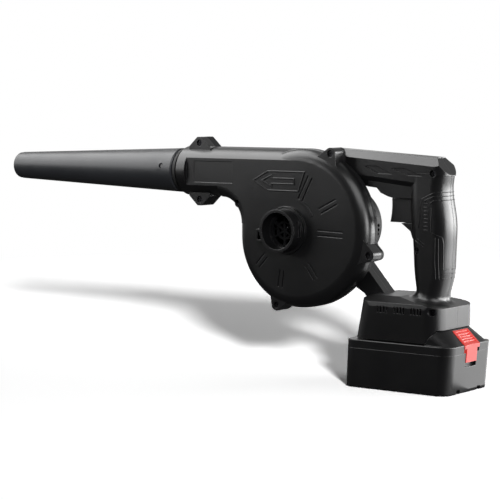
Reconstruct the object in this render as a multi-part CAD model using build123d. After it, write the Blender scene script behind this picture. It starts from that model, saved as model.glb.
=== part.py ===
"""Cordless hand-held leaf blower with a side inlet, a slide-on battery and a long tapered nozzle.

Millimetres. The origin is the middle of the battery's underside, +Z is up, the nozzle points along -X
and the inlet faces -Y.
"""
import os
from math import atan2, cos, degrees, hypot, radians, sin

from build123d import *

# Fits
RUN_FIT = 0.05
LOOSE_FIT = 0.1
SLIDE_GAP = 0.35
SEAL_GAP = 2.2

# Fan housing
FAN_X = -127.0
FAN_Z = 146.5
FACE_Y = -36.0
SEAM_Y = -19.0
BACK_Y = 6.0
WALL = 2.5
BACK_WALL = 3.0
VOLUTE_LEFT = 61.0
VOLUTE_RIGHT = 92.0
VOLUTE_DROP = 76.5
VOLUTE_RISE = 80.0
VOLUTE_LOW_SHIFT = 8.0
VOLUTE_SIDE_EASE = 6.5
RIM_R = 12.0
BACK_R = 24.0
REAR_INSET = 8.0
SEAM_LIP_LENGTH = 5.0
DUCT_Y = -15.0
DUCT_R = 25.2
COLLAR_END_X = -265.3
COLLAR_LENGTH = 12.0
SPIGOT_R = 19.5
SPIGOT_WALL = 2.5
SPIGOT_LENGTH = 29.0
PIP_R = 2.0
PIP_HEIGHT = 1.4
PIP_ANGLE = 13.0
PIP_FROM_COLLAR = 21.6

# Inlet
INLET_R = 18.0
INLET_WALL = 3.0
INLET_THROAT_R = 16.5
INLET_LENGTH = 17.0
INLET_RING_R = 23.5
INLET_RING_H = 3.0
INLET_SLOT_W = 5.5
INLET_SLOT_DEPTH = 1.6
INLET_CATCH_W = 11.0
INLET_CATCH_H = 13.0
INLET_CATCH_T = 4.0
GUARD_SETBACK = 13.0
GUARD_T = 2.5
GUARD_RIB = 2.2

# Relief on the inlet cover
RELIEF = 0.8
ARROW_X = -137.0
ARROW_Z = 194.5
ARROW_LENGTH = 64.0
ARROW_HEIGHT = 20.0
ARROW_SLANT = 8.0
ARROW_POINT = 19.0
ARROW_LINE = 1.1
LABEL_LENGTH = 49.0
LABEL_HEIGHT = 21.5
LABEL_RIGHT_X = -194.5
GROOVE_W = 1.5
GROOVE_PITCH = 5.0
GROOVE_DEPTH = 0.8
GROOVES = ((62.0, 34.0, 60.0), (27.0, 44.0, 66.0), (-1.5, 37.0, 66.0), (-53.0, 40.0, 58.0),
           (226.0, 36.0, 51.0), (262.0, 40.0, 57.0))
INLET_ARC_R = 35.0
INLET_ARC_W = 2.4

# Screw lugs round the fan housing
LUG_FRONT_Y = -33.0
DUCT_LUG_FRONT_Y = -28.0
LUG_BACK_Y = -14.5
DUCT_LUG_BACK_Y = -9.0
LUGS = ((-78.0, 222.3, 64.0), (-33.3, 126.3, -14.5), (-141.8, 71.6, 248.0))
LUG_HALF = 15.0
LUG_TOP_HALF = 3.2
LUG_TOP = 5.8
LUG_ROOT = 14.0
LUG_CORNER_R = 5.4
DUCT_LUG_HALF = 13.5
DUCT_LUG_TOP = 6.2
DUCT_LUG_TOP_HALF = 2.8
DUCT_LUG_CORNER_R = 2.0
DUCT_LUG_X = -242.5
DUCT_LUG_OUT = 3.6
THROAT_X = -189.0
THROAT_Z = 171.0
THROAT_R = 25.0
THROAT_LAP = 1.0
THROAT_REACH = 20.0

# Screws
SCREW_R = 1.5
SCREW_HEAD_R = 3.0
SCREW_HEAD_H = 2.0
SCREW_SINK = 3.5
SCREW_BOSS_R = 4.5
CROSS_W = 0.9
CROSS_DEPTH = 1.0

# Nozzle
NOZZLE_LENGTH = 232.4
NOZZLE_BASE_R = 22.7
NOZZLE_TIP_R = 14.5
NOZZLE_MOUTH_R = 12.4
NOZZLE_MOUTH_LENGTH = 14.0
NOZZLE_LIP_STEP = 0.5
NOZZLE_LIP_LENGTH = 5.0
NOZZLE_LIP_EDGE = 1.2
NOZZLE_BASE_EDGE = 1.2
NOZZLE_TWIST = 40.0
PIP_GAP = 0.6
SEAL_WIDTH = 3.6
SEAL_EDGE = 0.7
SEAL_R = 22.9

# Motor and impeller
MOTOR_R = 24.0
MOTOR_LENGTH = 60.0
CAN_WALL = 1.5
MOTOR_BOSS_R = 8.5
MOTOR_BOSS_H = 2.6
SHAFT_R = 2.5
SHAFT_FRONT_Y = -34.5
MAGNET_T = 4.5
MAGNET_LENGTH = 32.0
MAGNET_ARC = 132.0
AIR_GAP = 0.6
CORE_LENGTH = 28.0
WINDING_OVERHANG = 6.0
COMMUTATOR_R = 6.5
COMMUTATOR_LENGTH = 9.0
BEARING_R = 6.5
BEARING_W = 5.0
BELL_T = 7.0
BRUSH_W = 5.0
BRUSH_GAP = 0.3
BRUSH_LENGTH = 9.0
BRUSH_HOLDER_T = 1.5
MOTOR_SCREW_PITCH = 29.0
TUBE_R = 38.0
TUBE_END_Y = 62.0
TUBE_RIBS = 6
TUBE_RIB_T = 2.0
COVER_END_Y = 84.0
COVER_EDGE_R = 10.0
COVER_HOLE_R = 1.7
COVER_HOLE_STEP = 7.0
COVER_HOLE_TOP = 4.0
COVER_ROWS = (66.5, 71.0)
COVER_SCREW_ANGLES = (80.0, 200.0, 320.0)
COVER_SLOTS = 12
COVER_SLOT_W = 2.6
COVER_SLOT_R0 = 15.0
COVER_SLOT_R1 = 25.0
IMPELLER_R = 44.0
IMPELLER_BACK_Y = -6.0
IMPELLER_BACK_T = 2.0
IMPELLER_FRONT_GAP = 2.2
IMPELLER_EYE_R = 18.0
IMPELLER_HUB_R = 8.0
BLADES = 9
BLADE_T = 1.6
BLADE_SWEEP = 38.0
NUT_R = 4.6
NUT_H = 4.0

# Handle
BAR_TOP_Z = 221.8
BAR_TOP_SLOPE = -0.0571
BAR_HALF = 15.0
BAR_CHAMFER = 8.0
BAR_CHAMFER_SLOPE = 0.02
BAR_SIDE_Z = 196.7
BAR_SIDE_SLOPE = -0.1
BAR_UNDER_Z = 186.0
BAR_UNDER_SLOPE = -0.1
BAR_UNDER_HALF = 9.0
BAR_FRONT_X = -90.0
BAR_REAR_X = 39.5
BAR_REAR_CUT = 12.5
BAR_REAR_DROP = 16.0
BAR_CORNER_R = 13.0
BAR_CUT_X = 16.0
BAR_CUT_Z = 203.0
BAR_POCKET_DEPTH = 1.5
BAR_POCKETS = (((-50.0, 210.8), (-37.0, 211.2), (-19.0, 203.6), (-35.0, 203.8)),
               ((-19.5, 209.2), (-5.0, 209.8), (14.5, 202.6), (-1.0, 202.6)))
HANDLE_WALL = 2.5
GRIP_HALF = 16.0
GRIP_STATIONS = ((80.0, 3.8, 36.4, 16.0), (100.0, 3.6, 37.0, 16.0), (118.0, 1.6, 39.6, 16.0),
                 (148.0, -0.4, 41.0, 16.0), (166.0, -2.0, 40.0, 16.0), (184.0, -3.0, 37.0, 15.6),
                 (196.0, -3.6, 37.2, 15.2), (205.0, -4.0, 38.4, 15.05))
GRIP_CORNER_R = 13.0
NECK_HALF = 12.5
NECK_POINTS = ((-48.0, 203.0), (-48.0, 191.0), (-37.5, 190.0), (-33.2, 185.4), (-25.0, 182.2),
               (-19.0, 180.8), (12.0, 180.8), (12.0, 203.0))
SHELF_HALF = 9.5
SHELF_POINTS = ((-11.5, 157.0), (-7.0, 153.8), (-1.2, 149.6), (1.2, 143.0), (8.0, 138.0), (8.0, 157.0))
STRUT_HALF = 9.5
STRUT_POINTS = ((-80.0, 145.0), (-28.0, 86.5), (-20.0, 77.5), (-42.0, 74.0), (-53.0, 87.1),
                (-64.7, 93.6), (-92.0, 108.0))
ARM_POINTS = ((-50.0, 216.0), (-96.0, 216.0), (-130.0, 186.0), (-108.0, 166.0), (-82.0, 190.0),
              (-50.0, 197.0))
SEAT_RIB_T = 4.0

# Trigger and switch
TRIGGER_FRONT_X = -25.6
TRIGGER_TOP_X = -23.8
TRIGGER_REAR_X = 2.0
TRIGGER_LOW_Z = 157.6
TRIGGER_TOP_Z = 180.3
TRIGGER_HALF = 8.5
TRIGGER_TRAVEL = 7.0
TRIGGER_STEM_R = 2.4
SWITCH_FRONT_X = 13.0
SWITCH_LENGTH = 18.0
SWITCH_HALF = 9.0
SWITCH_LOW_Z = 152.0
SWITCH_TOP_Z = 186.0
SPRING_WIRE_R = 0.4
SPRING_R = 3.6
SPRING_PITCH = 2.2

# Foot that carries the battery
FOOT_HALF = 36.0
FOOT_FRONT_X = -51.0
FOOT_FRONT_LEAN = 8.0
FOOT_REAR_X = 45.5
FOOT_LOW_Z = 47.0
FOOT_REAR_LOW_Z = 59.5
FOOT_TOP_Z = 88.5
FOOT_REAR_TOP_Z = 80.0
FOOT_SHOULDER_Z = 79.0
FOOT_CREASE_X = -4.0
FOOT_TOP_ROOM = 8.0
GRIP_FLARE_R = 7.0
FLARE_EDGE = 1.0
FOOT_NOTCH_X = 31.0
FOOT_NOTCH_RUN = 10.0
FOOT_CORNER_R = 16.0
FOOT_LEAN = 4.0
VENT_W = 1.6
VENT_H = 6.0
VENT_PITCH = 3.4
VENT_GROUP_PITCH = 18.6
VENT_X = -15.5
VENT_Z = 76.5
HANDLE_SCREWS = ((26.2, 205.0, 15.0), (38.0, 76.5, 33.0), (9.5, 131.8, 14.5))

# Battery
BAT_END_ROOM = 9.5
BAT_SIDE_ROOM = 8.5
BAT_H = 46.0
BAT_SEAM_Z = 38.0
BAT_CORNER_R = 12.0
BAT_EDGE_R = 1.4
BAT_FRONT_LEAN = 2.0
BAT_REAR_FLARE = 4.0
BAT_WALL = 2.5
BAT_REAR_WALL = 4.5
RAIL_NECK_HALF = 25.6
RAIL_HEAD_HALF = 30.6
RAIL_HEAD_Z = 51.6
RAIL_TOP_Z = 58.2
RAIL_FRONT_X = -38.6
SLOPE_TOP_INSET = 10.5
SLOPE_TOP_Z = 59.0
SHOULDER_HALF = 36.0
SHOULDER_TOP_R = 24.0
CONTACT_PITCH = 15.0
CONTACT_X0 = -30.0
CONTACT_X1 = -17.0
BLADE_PLATE_T = 0.8
BLADE_LOW_Z = 52.2
CLIP_T = 0.6
CONTACT_SLOT_W = 5.2
CELL_R = 9.1
CELL_LENGTH = 65.0
CELL_PITCH_X = 19.4
CELL_ROWS_Z = (12.2, 31.2)
CELLS_PER_ROW = 5
HOLDER_T = 5.0
HOLDER_Y = 22.0
HOLDER_TOP_Z = 41.0
BOARD_T = 1.6
STRAP_T = 0.3
STRAP_W = 8.0
BAT_SCREW_INSET = 8.0
BAT_SCREW_SIDE = 4.5
NOTCH_Y = 19.0
NOTCH_W = 6.0
NOTCH_H = 4.0

# Battery latch
LATCH_HALF = 13.5
LATCH_TAB_HALF = 9.5
LATCH_LOW_Z = 29.0
LATCH_T = 4.0
LATCH_PROUD = 0.6
LATCH_TRAVEL = 4.0
LATCH_RIBS = 4
LATCH_RIB_T = 1.4
LATCH_BORDER = 2.6
LATCH_HOLLOW = 1.0
LATCH_HOLLOW_SPAN = (0.1, 0.86)
LATCH_SKIN = 0.8
LATCH_SPRING_INSET = 5.0
LATCH_WELL_R = 3.3
LATCH_SPRING_R = 2.4

# Leads
LEAD_R = 1.2
LEAD_Y = 4.5
LEAD_BEND_R = 5.0
BAR_LEAD_Z = 203.0
MOTOR_LEADS = ((52.0, 8.0), (64.0, 10.9))
MOTOR_LEAD_RUN_R = 30.0
MOTOR_LEAD_END_R = 19.0
MOTOR_LEAD_TURN_Y = 77.0
TUBE_RIB_TURN = 30.0

# Places worked out from the sizes above
DUCT_Z = FAN_Z + VOLUTE_RISE - DUCT_R
VOLUTE_LEFT_X = FAN_X - VOLUTE_LEFT
VOLUTE_RIGHT_X = FAN_X + VOLUTE_RIGHT
VOLUTE_LOW_X = FAN_X + VOLUTE_LOW_SHIFT
VOLUTE_LOW_Z = FAN_Z - VOLUTE_DROP
VOLUTE_TOP_X = VOLUTE_RIGHT_X - VOLUTE_RISE
RIM_Y = FACE_Y - INLET_LENGTH
NOZZLE_BASE_X = COLLAR_END_X - SEAL_GAP - SEAL_WIDTH - SEAL_GAP
NOZZLE_TIP_X = NOZZLE_BASE_X - NOZZLE_LENGTH
NOZZLE_BORE_R = SPIGOT_R + SLIDE_GAP
SPIGOT_END_X = COLLAR_END_X - SPIGOT_LENGTH
PIP_X = COLLAR_END_X - PIP_FROM_COLLAR
MOTOR_END_Y = BACK_Y + MOTOR_LENGTH
CAN_BORE_R = MOTOR_R - CAN_WALL
CORE_R = CAN_BORE_R - MAGNET_T - AIR_GAP
CORE_Y0 = BACK_Y + CAN_WALL + BEARING_W + WINDING_OVERHANG
CORE_Y1 = CORE_Y0 + CORE_LENGTH
BELL_END_Y = MOTOR_END_Y + BELL_T
SHAFT_BACK_Y = BELL_END_Y - CAN_WALL
SWITCH_REAR_X = SWITCH_FRONT_X + SWITCH_LENGTH
BAY_TOP_Z = RAIL_TOP_Z + SLIDE_GAP
BAY_PLATE_Z = BAY_TOP_Z + HANDLE_WALL
BAT_LENGTH = CELLS_PER_ROW * CELL_PITCH_X + 2 * BAT_END_ROOM
BAT_HALF = CELL_LENGTH / 2 + BAT_SIDE_ROOM
BAT_SCREW_X = BAT_LENGTH / 2 - BAT_SCREW_INSET
BAT_SCREW_Y = BAT_HALF - BAT_SCREW_SIDE
SLOPE_TOP_X = BAT_LENGTH / 2 - SLOPE_TOP_INSET
LATCH_SPRING_X = BAT_LENGTH / 2 - LATCH_SPRING_INSET
LATCH_SEAT_X = BAT_LENGTH / 2 + BAT_REAR_FLARE
FAN_AXIS = Axis((FAN_X, 0, FAN_Z), (0, 1, 0))
NOZZLE_AXIS = Axis((0, DUCT_Y, DUCT_Z), (1, 0, 0))


def box(x0, x1, y0, y1, z0, z1):
    """A block between two corners."""
    middle = Pos((x0 + x1) / 2, (y0 + y1) / 2, (z0 + z1) / 2)
    return middle * Box(x1 - x0, y1 - y0, z1 - z0)


def cyl_x(x0, x1, y, z, r):
    """A round bar along X."""
    return Pos((x0 + x1) / 2, y, z) * Rot(0, 90, 0) * Cylinder(r, x1 - x0)


def cyl_y(x, z, y0, y1, r):
    """A round bar along Y."""
    return Pos(x, (y0 + y1) / 2, z) * Rot(90, 0, 0) * Cylinder(r, y1 - y0)


def cyl_z(x, y, z0, z1, r):
    """A round bar along Z."""
    return Pos(x, y, (z0 + z1) / 2) * Cylinder(r, z1 - z0)


def ring_y(x, z, y0, y1, r_out, r_in):
    """A round ring along Y."""
    return cyl_y(x, z, y0, y1, r_out) - cyl_y(x, z, y0 - 1, y1 + 1, r_in)


def fan_rod(y0, y1, r):
    """A round bar on the fan's axis."""
    return cyl_y(FAN_X, FAN_Z, y0, y1, r)


def fan_ring(y0, y1, r_out, r_in):
    """A round ring on the fan's axis."""
    return ring_y(FAN_X, FAN_Z, y0, y1, r_out, r_in)


def slab(face, y0, y1):
    """A side-view face, drawn in X and Z, extruded from y0 to y1."""
    plane = Plane(origin=(0, y1, 0), x_dir=(1, 0, 0), z_dir=(0, -1, 0))
    return extrude(plane * face, y1 - y0, dir=(0, -1, 0))


def outline(points):
    """A face with straight edges through the points."""
    return Polygon(*points, align=None)


def shrunk(points, inset):
    """The same face with its edges moved inwards."""
    face = outline(points)
    if inset == 0:
        return face
    return offset(face, -inset, kind=Kind.INTERSECTION)


def turned(solid, angle):
    """A solid turned about the fan's axis, positive from +X towards +Z."""
    return solid.rotate(FAN_AXIS, -angle)


def half(solid, y0, y1):
    """The part of a solid between two planes across Y."""
    reach = 1000.0
    return solid & box(-reach, reach, y0, y1, -reach, reach)


def screw(x, z, seat_y, tip_y):
    """A pan-head screw along Y with a cross in its head; it points from seat_y to tip_y."""
    way = 1 if tip_y > seat_y else -1
    top_y = seat_y - way * SCREW_HEAD_H
    head = cyl_y(x, z, min(top_y, seat_y), max(top_y, seat_y), SCREW_HEAD_R)
    shank = cyl_y(x, z, min(seat_y, tip_y), max(seat_y, tip_y), SCREW_R)
    low = min(top_y, top_y + way * CROSS_DEPTH)
    high = max(top_y, top_y + way * CROSS_DEPTH)
    reach = SCREW_HEAD_R * 0.62
    bar = box(x - reach, x + reach, low, high, z - CROSS_W / 2, z + CROSS_W / 2)
    post = box(x - CROSS_W / 2, x + CROSS_W / 2, low, high, z - reach, z + reach)
    return head + shank - bar - post


def coil(start, axis_dir, length, radius, pitch):
    """A coil spring of round wire from a start point along a direction."""
    turns = Helix(pitch, length - 2 * SPRING_WIRE_R, radius)
    wire = Plane(origin=turns @ 0, z_dir=turns % 0) * Circle(SPRING_WIRE_R)
    place = Plane(origin=start, z_dir=axis_dir)
    return place * Pos(0, 0, SPRING_WIRE_R) * sweep(wire, path=turns)


def volute_face(inset):
    """The fan housing's side view: a spiral of five arcs and a short straight that meet smoothly."""
    across = VOLUTE_RIGHT_X - VOLUTE_LOW_X
    side_r = VOLUTE_DROP - VOLUTE_SIDE_EASE
    under_r = (across ** 2 + VOLUTE_DROP ** 2 - 2 * across * side_r) / (2 * (VOLUTE_DROP - side_r))
    side_x = VOLUTE_RIGHT_X - side_r
    under_z = VOLUTE_LOW_Z + under_r
    meet = degrees(atan2(FAN_Z - under_z, side_x - VOLUTE_LOW_X))
    corner_r = VOLUTE_LOW_X - VOLUTE_LEFT_X
    corner_z = VOLUTE_LOW_Z + corner_r
    shoulder_r = VOLUTE_TOP_X - VOLUTE_LEFT_X
    shoulder_z = FAN_Z + VOLUTE_RISE - shoulder_r
    left_x = VOLUTE_LEFT_X + inset
    edges = [
        CenterArc((VOLUTE_LOW_X, corner_z), corner_r - inset, 180, 90),
        CenterArc((VOLUTE_LOW_X, under_z), under_r - inset, -90, 90 + meet),
        CenterArc((side_x, FAN_Z), side_r - inset, meet, -meet),
        CenterArc((VOLUTE_TOP_X, FAN_Z), VOLUTE_RISE - inset, 0, 90),
        CenterArc((VOLUTE_TOP_X, shoulder_z), shoulder_r - inset, 90, 90),
        Line((left_x, shoulder_z), (left_x, corner_z)),
    ]
    return make_face(edges)


def rounded_slab(face, y0, y1, radius, front):
    """A side-view face extruded, with the rim of its front or back face rounded."""
    body = slab(face, y0, y1)
    rim = body.faces().sort_by(Axis.Y)[0 if front else -1].edges()
    return fillet(rim, radius)


def front_outer():
    return rounded_slab(volute_face(0), FACE_Y, SEAM_Y, RIM_R, True)


def rear_outer():
    lip = slab(volute_face(0), SEAM_Y, SEAM_Y + SEAM_LIP_LENGTH)
    return lip + rounded_slab(volute_face(REAR_INSET), SEAM_Y, BACK_Y, BACK_R, False)


def duct_outer():
    """Round outlet duct with a flat on its inlet side, its full round collar and its spigot."""
    far_x = VOLUTE_TOP_X + WALL
    flat_x = COLLAR_END_X + COLLAR_LENGTH
    tube = cyl_x(flat_x, far_x, DUCT_Y, DUCT_Z, DUCT_R)
    tube = half(tube, FACE_Y, DUCT_Y + 2 * DUCT_R)
    collar = cyl_x(COLLAR_END_X, flat_x, DUCT_Y, DUCT_Z, DUCT_R)
    collar = chamfer(collar.edges().sort_by(Axis.X)[0], NOZZLE_BASE_EDGE)
    spigot = cyl_x(SPIGOT_END_X, COLLAR_END_X, DUCT_Y, DUCT_Z, SPIGOT_R)
    body = tube + collar + spigot
    for side in (0, 180):
        body += pip(side)
    return body


def pip(turn):
    """A round locking pip that stands on the spigot."""
    peg = Pos(PIP_X, DUCT_Y, DUCT_Z) * Rot(90, 0, 0) * Pos(0, 0, SPIGOT_R / 2 + PIP_HEIGHT / 2)
    peg = peg * Cylinder(PIP_R, SPIGOT_R + PIP_HEIGHT)
    return peg.rotate(NOZZLE_AXIS, turn - PIP_ANGLE)


def duct_cavity():
    """The air way through the duct, its flat side and the spigot."""
    tube = cyl_x(COLLAR_END_X + WALL, VOLUTE_TOP_X, DUCT_Y, DUCT_Z, DUCT_R - WALL)
    tube = half(tube, FACE_Y + WALL, DUCT_Y + 2 * DUCT_R)
    spigot = cyl_x(SPIGOT_END_X - 1, COLLAR_END_X + 2 * WALL, DUCT_Y, DUCT_Z, SPIGOT_R - SPIGOT_WALL)
    return tube + spigot


def lug_face(x, z, angle):
    """A scroll lug's side view: a tapered block with rounded corners that points outwards."""
    points = ((-LUG_HALF, -LUG_ROOT), (LUG_HALF, -LUG_ROOT),
              (LUG_TOP_HALF, LUG_TOP), (-LUG_TOP_HALF, LUG_TOP))
    return placed_lug(points, LUG_CORNER_R, x, z, angle)


def duct_lug_face(x, z, angle):
    """A duct lug's side view: wider, with short upright sides under its slopes."""
    wide = DUCT_LUG_HALF
    points = ((-wide, -LUG_ROOT), (wide, -LUG_ROOT), (wide, -DUCT_LUG_OUT),
              (DUCT_LUG_TOP_HALF, DUCT_LUG_TOP), (-DUCT_LUG_TOP_HALF, DUCT_LUG_TOP), (-wide, -DUCT_LUG_OUT))
    return placed_lug(points, DUCT_LUG_CORNER_R, x, z, angle)


def placed_lug(points, radius, x, z, angle):
    face = outline(points)
    face = fillet(face.vertices().sort_by(Axis.Y)[-2:], radius)
    return Pos(x, z) * Rot(0, 0, angle - 90) * face


def duct_lug_places():
    """Screw centres and outward angles of the lugs above and below the duct."""
    return tuple((DUCT_LUG_X, DUCT_Z + way * (DUCT_R + DUCT_LUG_OUT), 90 * way) for way in (1, -1))


def screw_places():
    """Centres of the screws that join both shells, and how far forward each one's lug reaches."""
    scroll = [(x, z, LUG_FRONT_Y) for x, z, angle in LUGS]
    duct = [(x, z, DUCT_LUG_FRONT_Y) for x, z, angle in duct_lug_places()]
    return scroll + duct + [(THROAT_X, THROAT_Z, LUG_FRONT_Y)]


def throat_corner(deep):
    """The corner between the scroll and the duct with a hollow edge, reaching a depth into both."""
    wall_x = VOLUTE_LEFT_X
    low_z = DUCT_Z - DUCT_R
    reach = THROAT_R
    points = ((wall_x - reach, low_z), (wall_x - reach, low_z + deep), (wall_x + deep, low_z + deep),
              (wall_x + deep, low_z - reach), (wall_x, low_z - reach))
    return outline(points) - Pos(wall_x - reach, low_z - reach) * Circle(THROAT_R)


def throat_face():
    """The web in the corner between the scroll and the duct, with room for a screw."""
    return throat_corner(WALL * 2) + Pos(THROAT_X, THROAT_Z) * Circle(SCREW_BOSS_R)


def throat_front():
    """Carries the scroll's flat face and its rounded rim round the corner to the duct."""
    body = slab(throat_corner(THROAT_REACH), FACE_Y, SEAM_Y)
    hollow = body.edges().filter_by(GeomType.CIRCLE).sort_by(Axis.Y)[0]
    return fillet(hollow, RIM_R - THROAT_LAP)


def front_lugs():
    boss = Pos(THROAT_X, THROAT_Z) * Circle(SCREW_BOSS_R)
    body = slab(boss, LUG_FRONT_Y, SEAM_Y) + throat_front()
    for place in LUGS:
        body += slab(lug_face(*place), LUG_FRONT_Y, SEAM_Y)
    for place in duct_lug_places():
        body += slab(duct_lug_face(*place), DUCT_LUG_FRONT_Y, SEAM_Y)
    return body


def rear_lugs():
    body = slab(throat_face(), SEAM_Y, LUG_BACK_Y)
    for place in LUGS:
        body += slab(lug_face(*place), SEAM_Y, LUG_BACK_Y)
    for place in duct_lug_places():
        body += slab(duct_lug_face(*place), SEAM_Y, DUCT_LUG_BACK_Y)
    return body


def chamber():
    """The scroll's hollow, the duct and the spigot together."""
    front = rounded_slab(volute_face(WALL), FACE_Y + WALL, SEAM_Y, RIM_R - WALL, True)
    rear = rounded_slab(volute_face(REAR_INSET + WALL), SEAM_Y, BACK_Y - BACK_WALL, BACK_R - WALL, False)
    return front + rear + duct_cavity()


def arrow_face(inset):
    """The outline of the airflow panel: a long block with a point towards the outlet."""
    x0 = ARROW_X - ARROW_LENGTH / 2
    x1 = ARROW_X + ARROW_LENGTH / 2
    z0 = ARROW_Z - ARROW_HEIGHT / 2
    z1 = ARROW_Z + ARROW_HEIGHT / 2
    points = ((x0, ARROW_Z), (x0 + ARROW_POINT, z0), (x1 - ARROW_SLANT, z0),
              (x1, z1), (x0 + ARROW_POINT, z1))
    return shrunk(points, inset)


def inner_arrow_face(inset):
    """A plain arrow that shows which way the air leaves."""
    half_head = ARROW_HEIGHT * 0.32
    half_shaft = ARROW_HEIGHT * 0.16
    x0 = ARROW_X - ARROW_LENGTH * 0.34
    x1 = x0 + ARROW_POINT * 0.72
    x2 = ARROW_X + ARROW_LENGTH * 0.30
    points = ((x0, ARROW_Z), (x1, ARROW_Z - half_head), (x1, ARROW_Z - half_shaft),
              (x2, ARROW_Z - half_shaft), (x2, ARROW_Z + half_shaft), (x1, ARROW_Z + half_shaft),
              (x1, ARROW_Z + half_head))
    return shrunk(points, inset)


def line_frame(face_of):
    """A thin raised or sunk line round a face."""
    return face_of(0) - face_of(ARROW_LINE)


def cover_grooves():
    """Pairs of short radial grooves in the inlet cover's face."""
    cuts = []
    for angle, r0, r1 in GROOVES:
        for way in (-1, 1):
            z = FAN_Z + way * GROOVE_PITCH / 2
            bar = box(FAN_X + r0, FAN_X + r1, FACE_Y - 1, FACE_Y + GROOVE_DEPTH,
                      z - GROOVE_W / 2, z + GROOVE_W / 2)
            cuts.append(turned(bar, angle))
    return cuts


def inlet_cover():
    """Front shell of the fan housing: scroll face, duct side, inlet collar and lugs."""
    body = front_outer() + half(duct_outer(), FACE_Y - DUCT_R, SEAM_Y) + front_lugs()
    body = half(body - chamber(), FACE_Y - DUCT_R, SEAM_Y)
    body += slab(line_frame(arrow_face), FACE_Y - RELIEF, FACE_Y)
    body += slab(line_frame(inner_arrow_face), FACE_Y - RELIEF, FACE_Y)
    arc = fan_ring(FACE_Y - RELIEF, FACE_Y, INLET_ARC_R, INLET_ARC_R - INLET_ARC_W)
    sector = outline(((FAN_X, FAN_Z), (FAN_X + 2 * INLET_ARC_R, FAN_Z + INLET_ARC_R),
                      (FAN_X + INLET_ARC_R, FAN_Z + 2 * INLET_ARC_R)))
    body += arc & slab(sector, FACE_Y - RELIEF, FACE_Y)
    collar_r = INLET_R + INLET_WALL
    body += fan_rod(FACE_Y - INLET_RING_H, FACE_Y + WALL, INLET_RING_R)
    body += fan_rod(RIM_Y, FACE_Y + WALL, collar_r)
    for cut in cover_grooves():
        body -= cut
    label = box(LABEL_RIGHT_X - LABEL_LENGTH, LABEL_RIGHT_X, FACE_Y - 1, FACE_Y + RELIEF / 2,
                DUCT_Z - LABEL_HEIGHT / 2, DUCT_Z + LABEL_HEIGHT / 2)
    body -= label
    body += catch()
    body -= fan_rod(RIM_Y - 1, RIM_Y + GUARD_SETBACK, INLET_R)
    body -= fan_rod(RIM_Y, FACE_Y + WALL + 1, INLET_THROAT_R)
    for angle in (0, 180):
        body -= turned(inlet_slot(), angle)
    for x, z, front in screw_places():
        body -= cyl_y(x, z, front - 10, front + SCREW_SINK, SCREW_HEAD_R + SLIDE_GAP)
        body -= cyl_y(x, z, front, SEAM_Y + 1, SCREW_R + LOOSE_FIT)
    return body


def catch():
    """A small hooked catch beside the collar that holds a bag or hose fitting."""
    x1 = FAN_X - INLET_R - INLET_WALL * 2
    x0 = x1 - INLET_CATCH_W
    z1 = FAN_Z
    z0 = z1 - INLET_CATCH_H
    block = box(x0, x1, FACE_Y - INLET_CATCH_T, FACE_Y + 1, z0, z1)
    window = box(x0 + WALL, x1 + 1, FACE_Y - INLET_CATCH_T - 1, FACE_Y - 1, z0 + WALL, z1 - WALL)
    return block - window


def inlet_slot():
    """An L-shaped bayonet slot in the collar's outside, on its +X side."""
    outer = INLET_R + INLET_WALL
    floor = outer - INLET_SLOT_DEPTH
    w = INLET_SLOT_W
    down = box(FAN_X + floor, FAN_X + outer + 1, RIM_Y - 1, RIM_Y + 2 * w, FAN_Z + w, FAN_Z + 2 * w)
    along = box(FAN_X + floor - 1, FAN_X + outer + 1, RIM_Y + w, RIM_Y + 2 * w, FAN_Z - w, FAN_Z + 2 * w)
    return down + along


def motor_wall_holes():
    """Holes in the fan housing's back wall for the motor's boss and two screws."""
    holes = fan_rod(BACK_Y - BACK_WALL - 1, BACK_Y + 1, MOTOR_BOSS_R + LOOSE_FIT)
    for way in (1, -1):
        x = FAN_X + way * MOTOR_SCREW_PITCH / 2
        holes += cyl_y(x, FAN_Z, BACK_Y - BACK_WALL - 1, BACK_Y + 1, SCREW_R + LOOSE_FIT)
    return holes


def lead_ports():
    """The holes in the motor tube where the leads come in from the handle."""
    ports = []
    for angle, y in MOTOR_LEADS:
        drill = cyl_x(FAN_X + MOTOR_LEAD_RUN_R, FAN_X + TUBE_R + WALL, y, FAN_Z, LEAD_R + SLIDE_GAP)
        ports.append(turned(drill, angle))
    return ports


def motor_housing():
    """Rear shell of the fan housing with the tube that holds the motor."""
    body = rear_outer() + half(duct_outer(), SEAM_Y, DUCT_Y + 2 * DUCT_R) + rear_lugs()
    body = half(body - chamber(), SEAM_Y, BACK_Y + 2 * DUCT_R)
    body += fan_rod(BACK_Y - BACK_WALL, TUBE_END_Y, TUBE_R) - fan_rod(BACK_Y, TUBE_END_Y + 1, TUBE_R - WALL)
    for turn in range(TUBE_RIBS):
        rib = box(FAN_X + MOTOR_R + SLIDE_GAP, FAN_X + TUBE_R - WALL / 2, BACK_Y, TUBE_END_Y - WALL,
                  FAN_Z - TUBE_RIB_T / 2, FAN_Z + TUBE_RIB_T / 2)
        body += turned(rib, 360 / TUBE_RIBS * turn + TUBE_RIB_TURN)
    for x, z in cover_screw_places():
        boss = cyl_y(x, z, BACK_Y, TUBE_END_Y, SCREW_BOSS_R)
        body += boss - fan_ring(0, TUBE_END_Y + 1, 2 * TUBE_R, TUBE_R)
    for x, z in cover_screw_places():
        body -= cyl_y(x, z, TUBE_END_Y - 15, TUBE_END_Y + 1, SCREW_R + RUN_FIT)
    body -= motor_wall_holes()
    for port in lead_ports():
        body -= port
    for x, z, front in screw_places():
        body -= cyl_y(x, z, SEAM_Y - 1, LUG_BACK_Y - WALL / 2, SCREW_R + RUN_FIT)
    return body


def cover_screw_places():
    reach = TUBE_R - SCREW_BOSS_R
    return [(FAN_X + reach * cos(radians(a)), FAN_Z + reach * sin(radians(a))) for a in COVER_SCREW_ANGLES]


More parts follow.
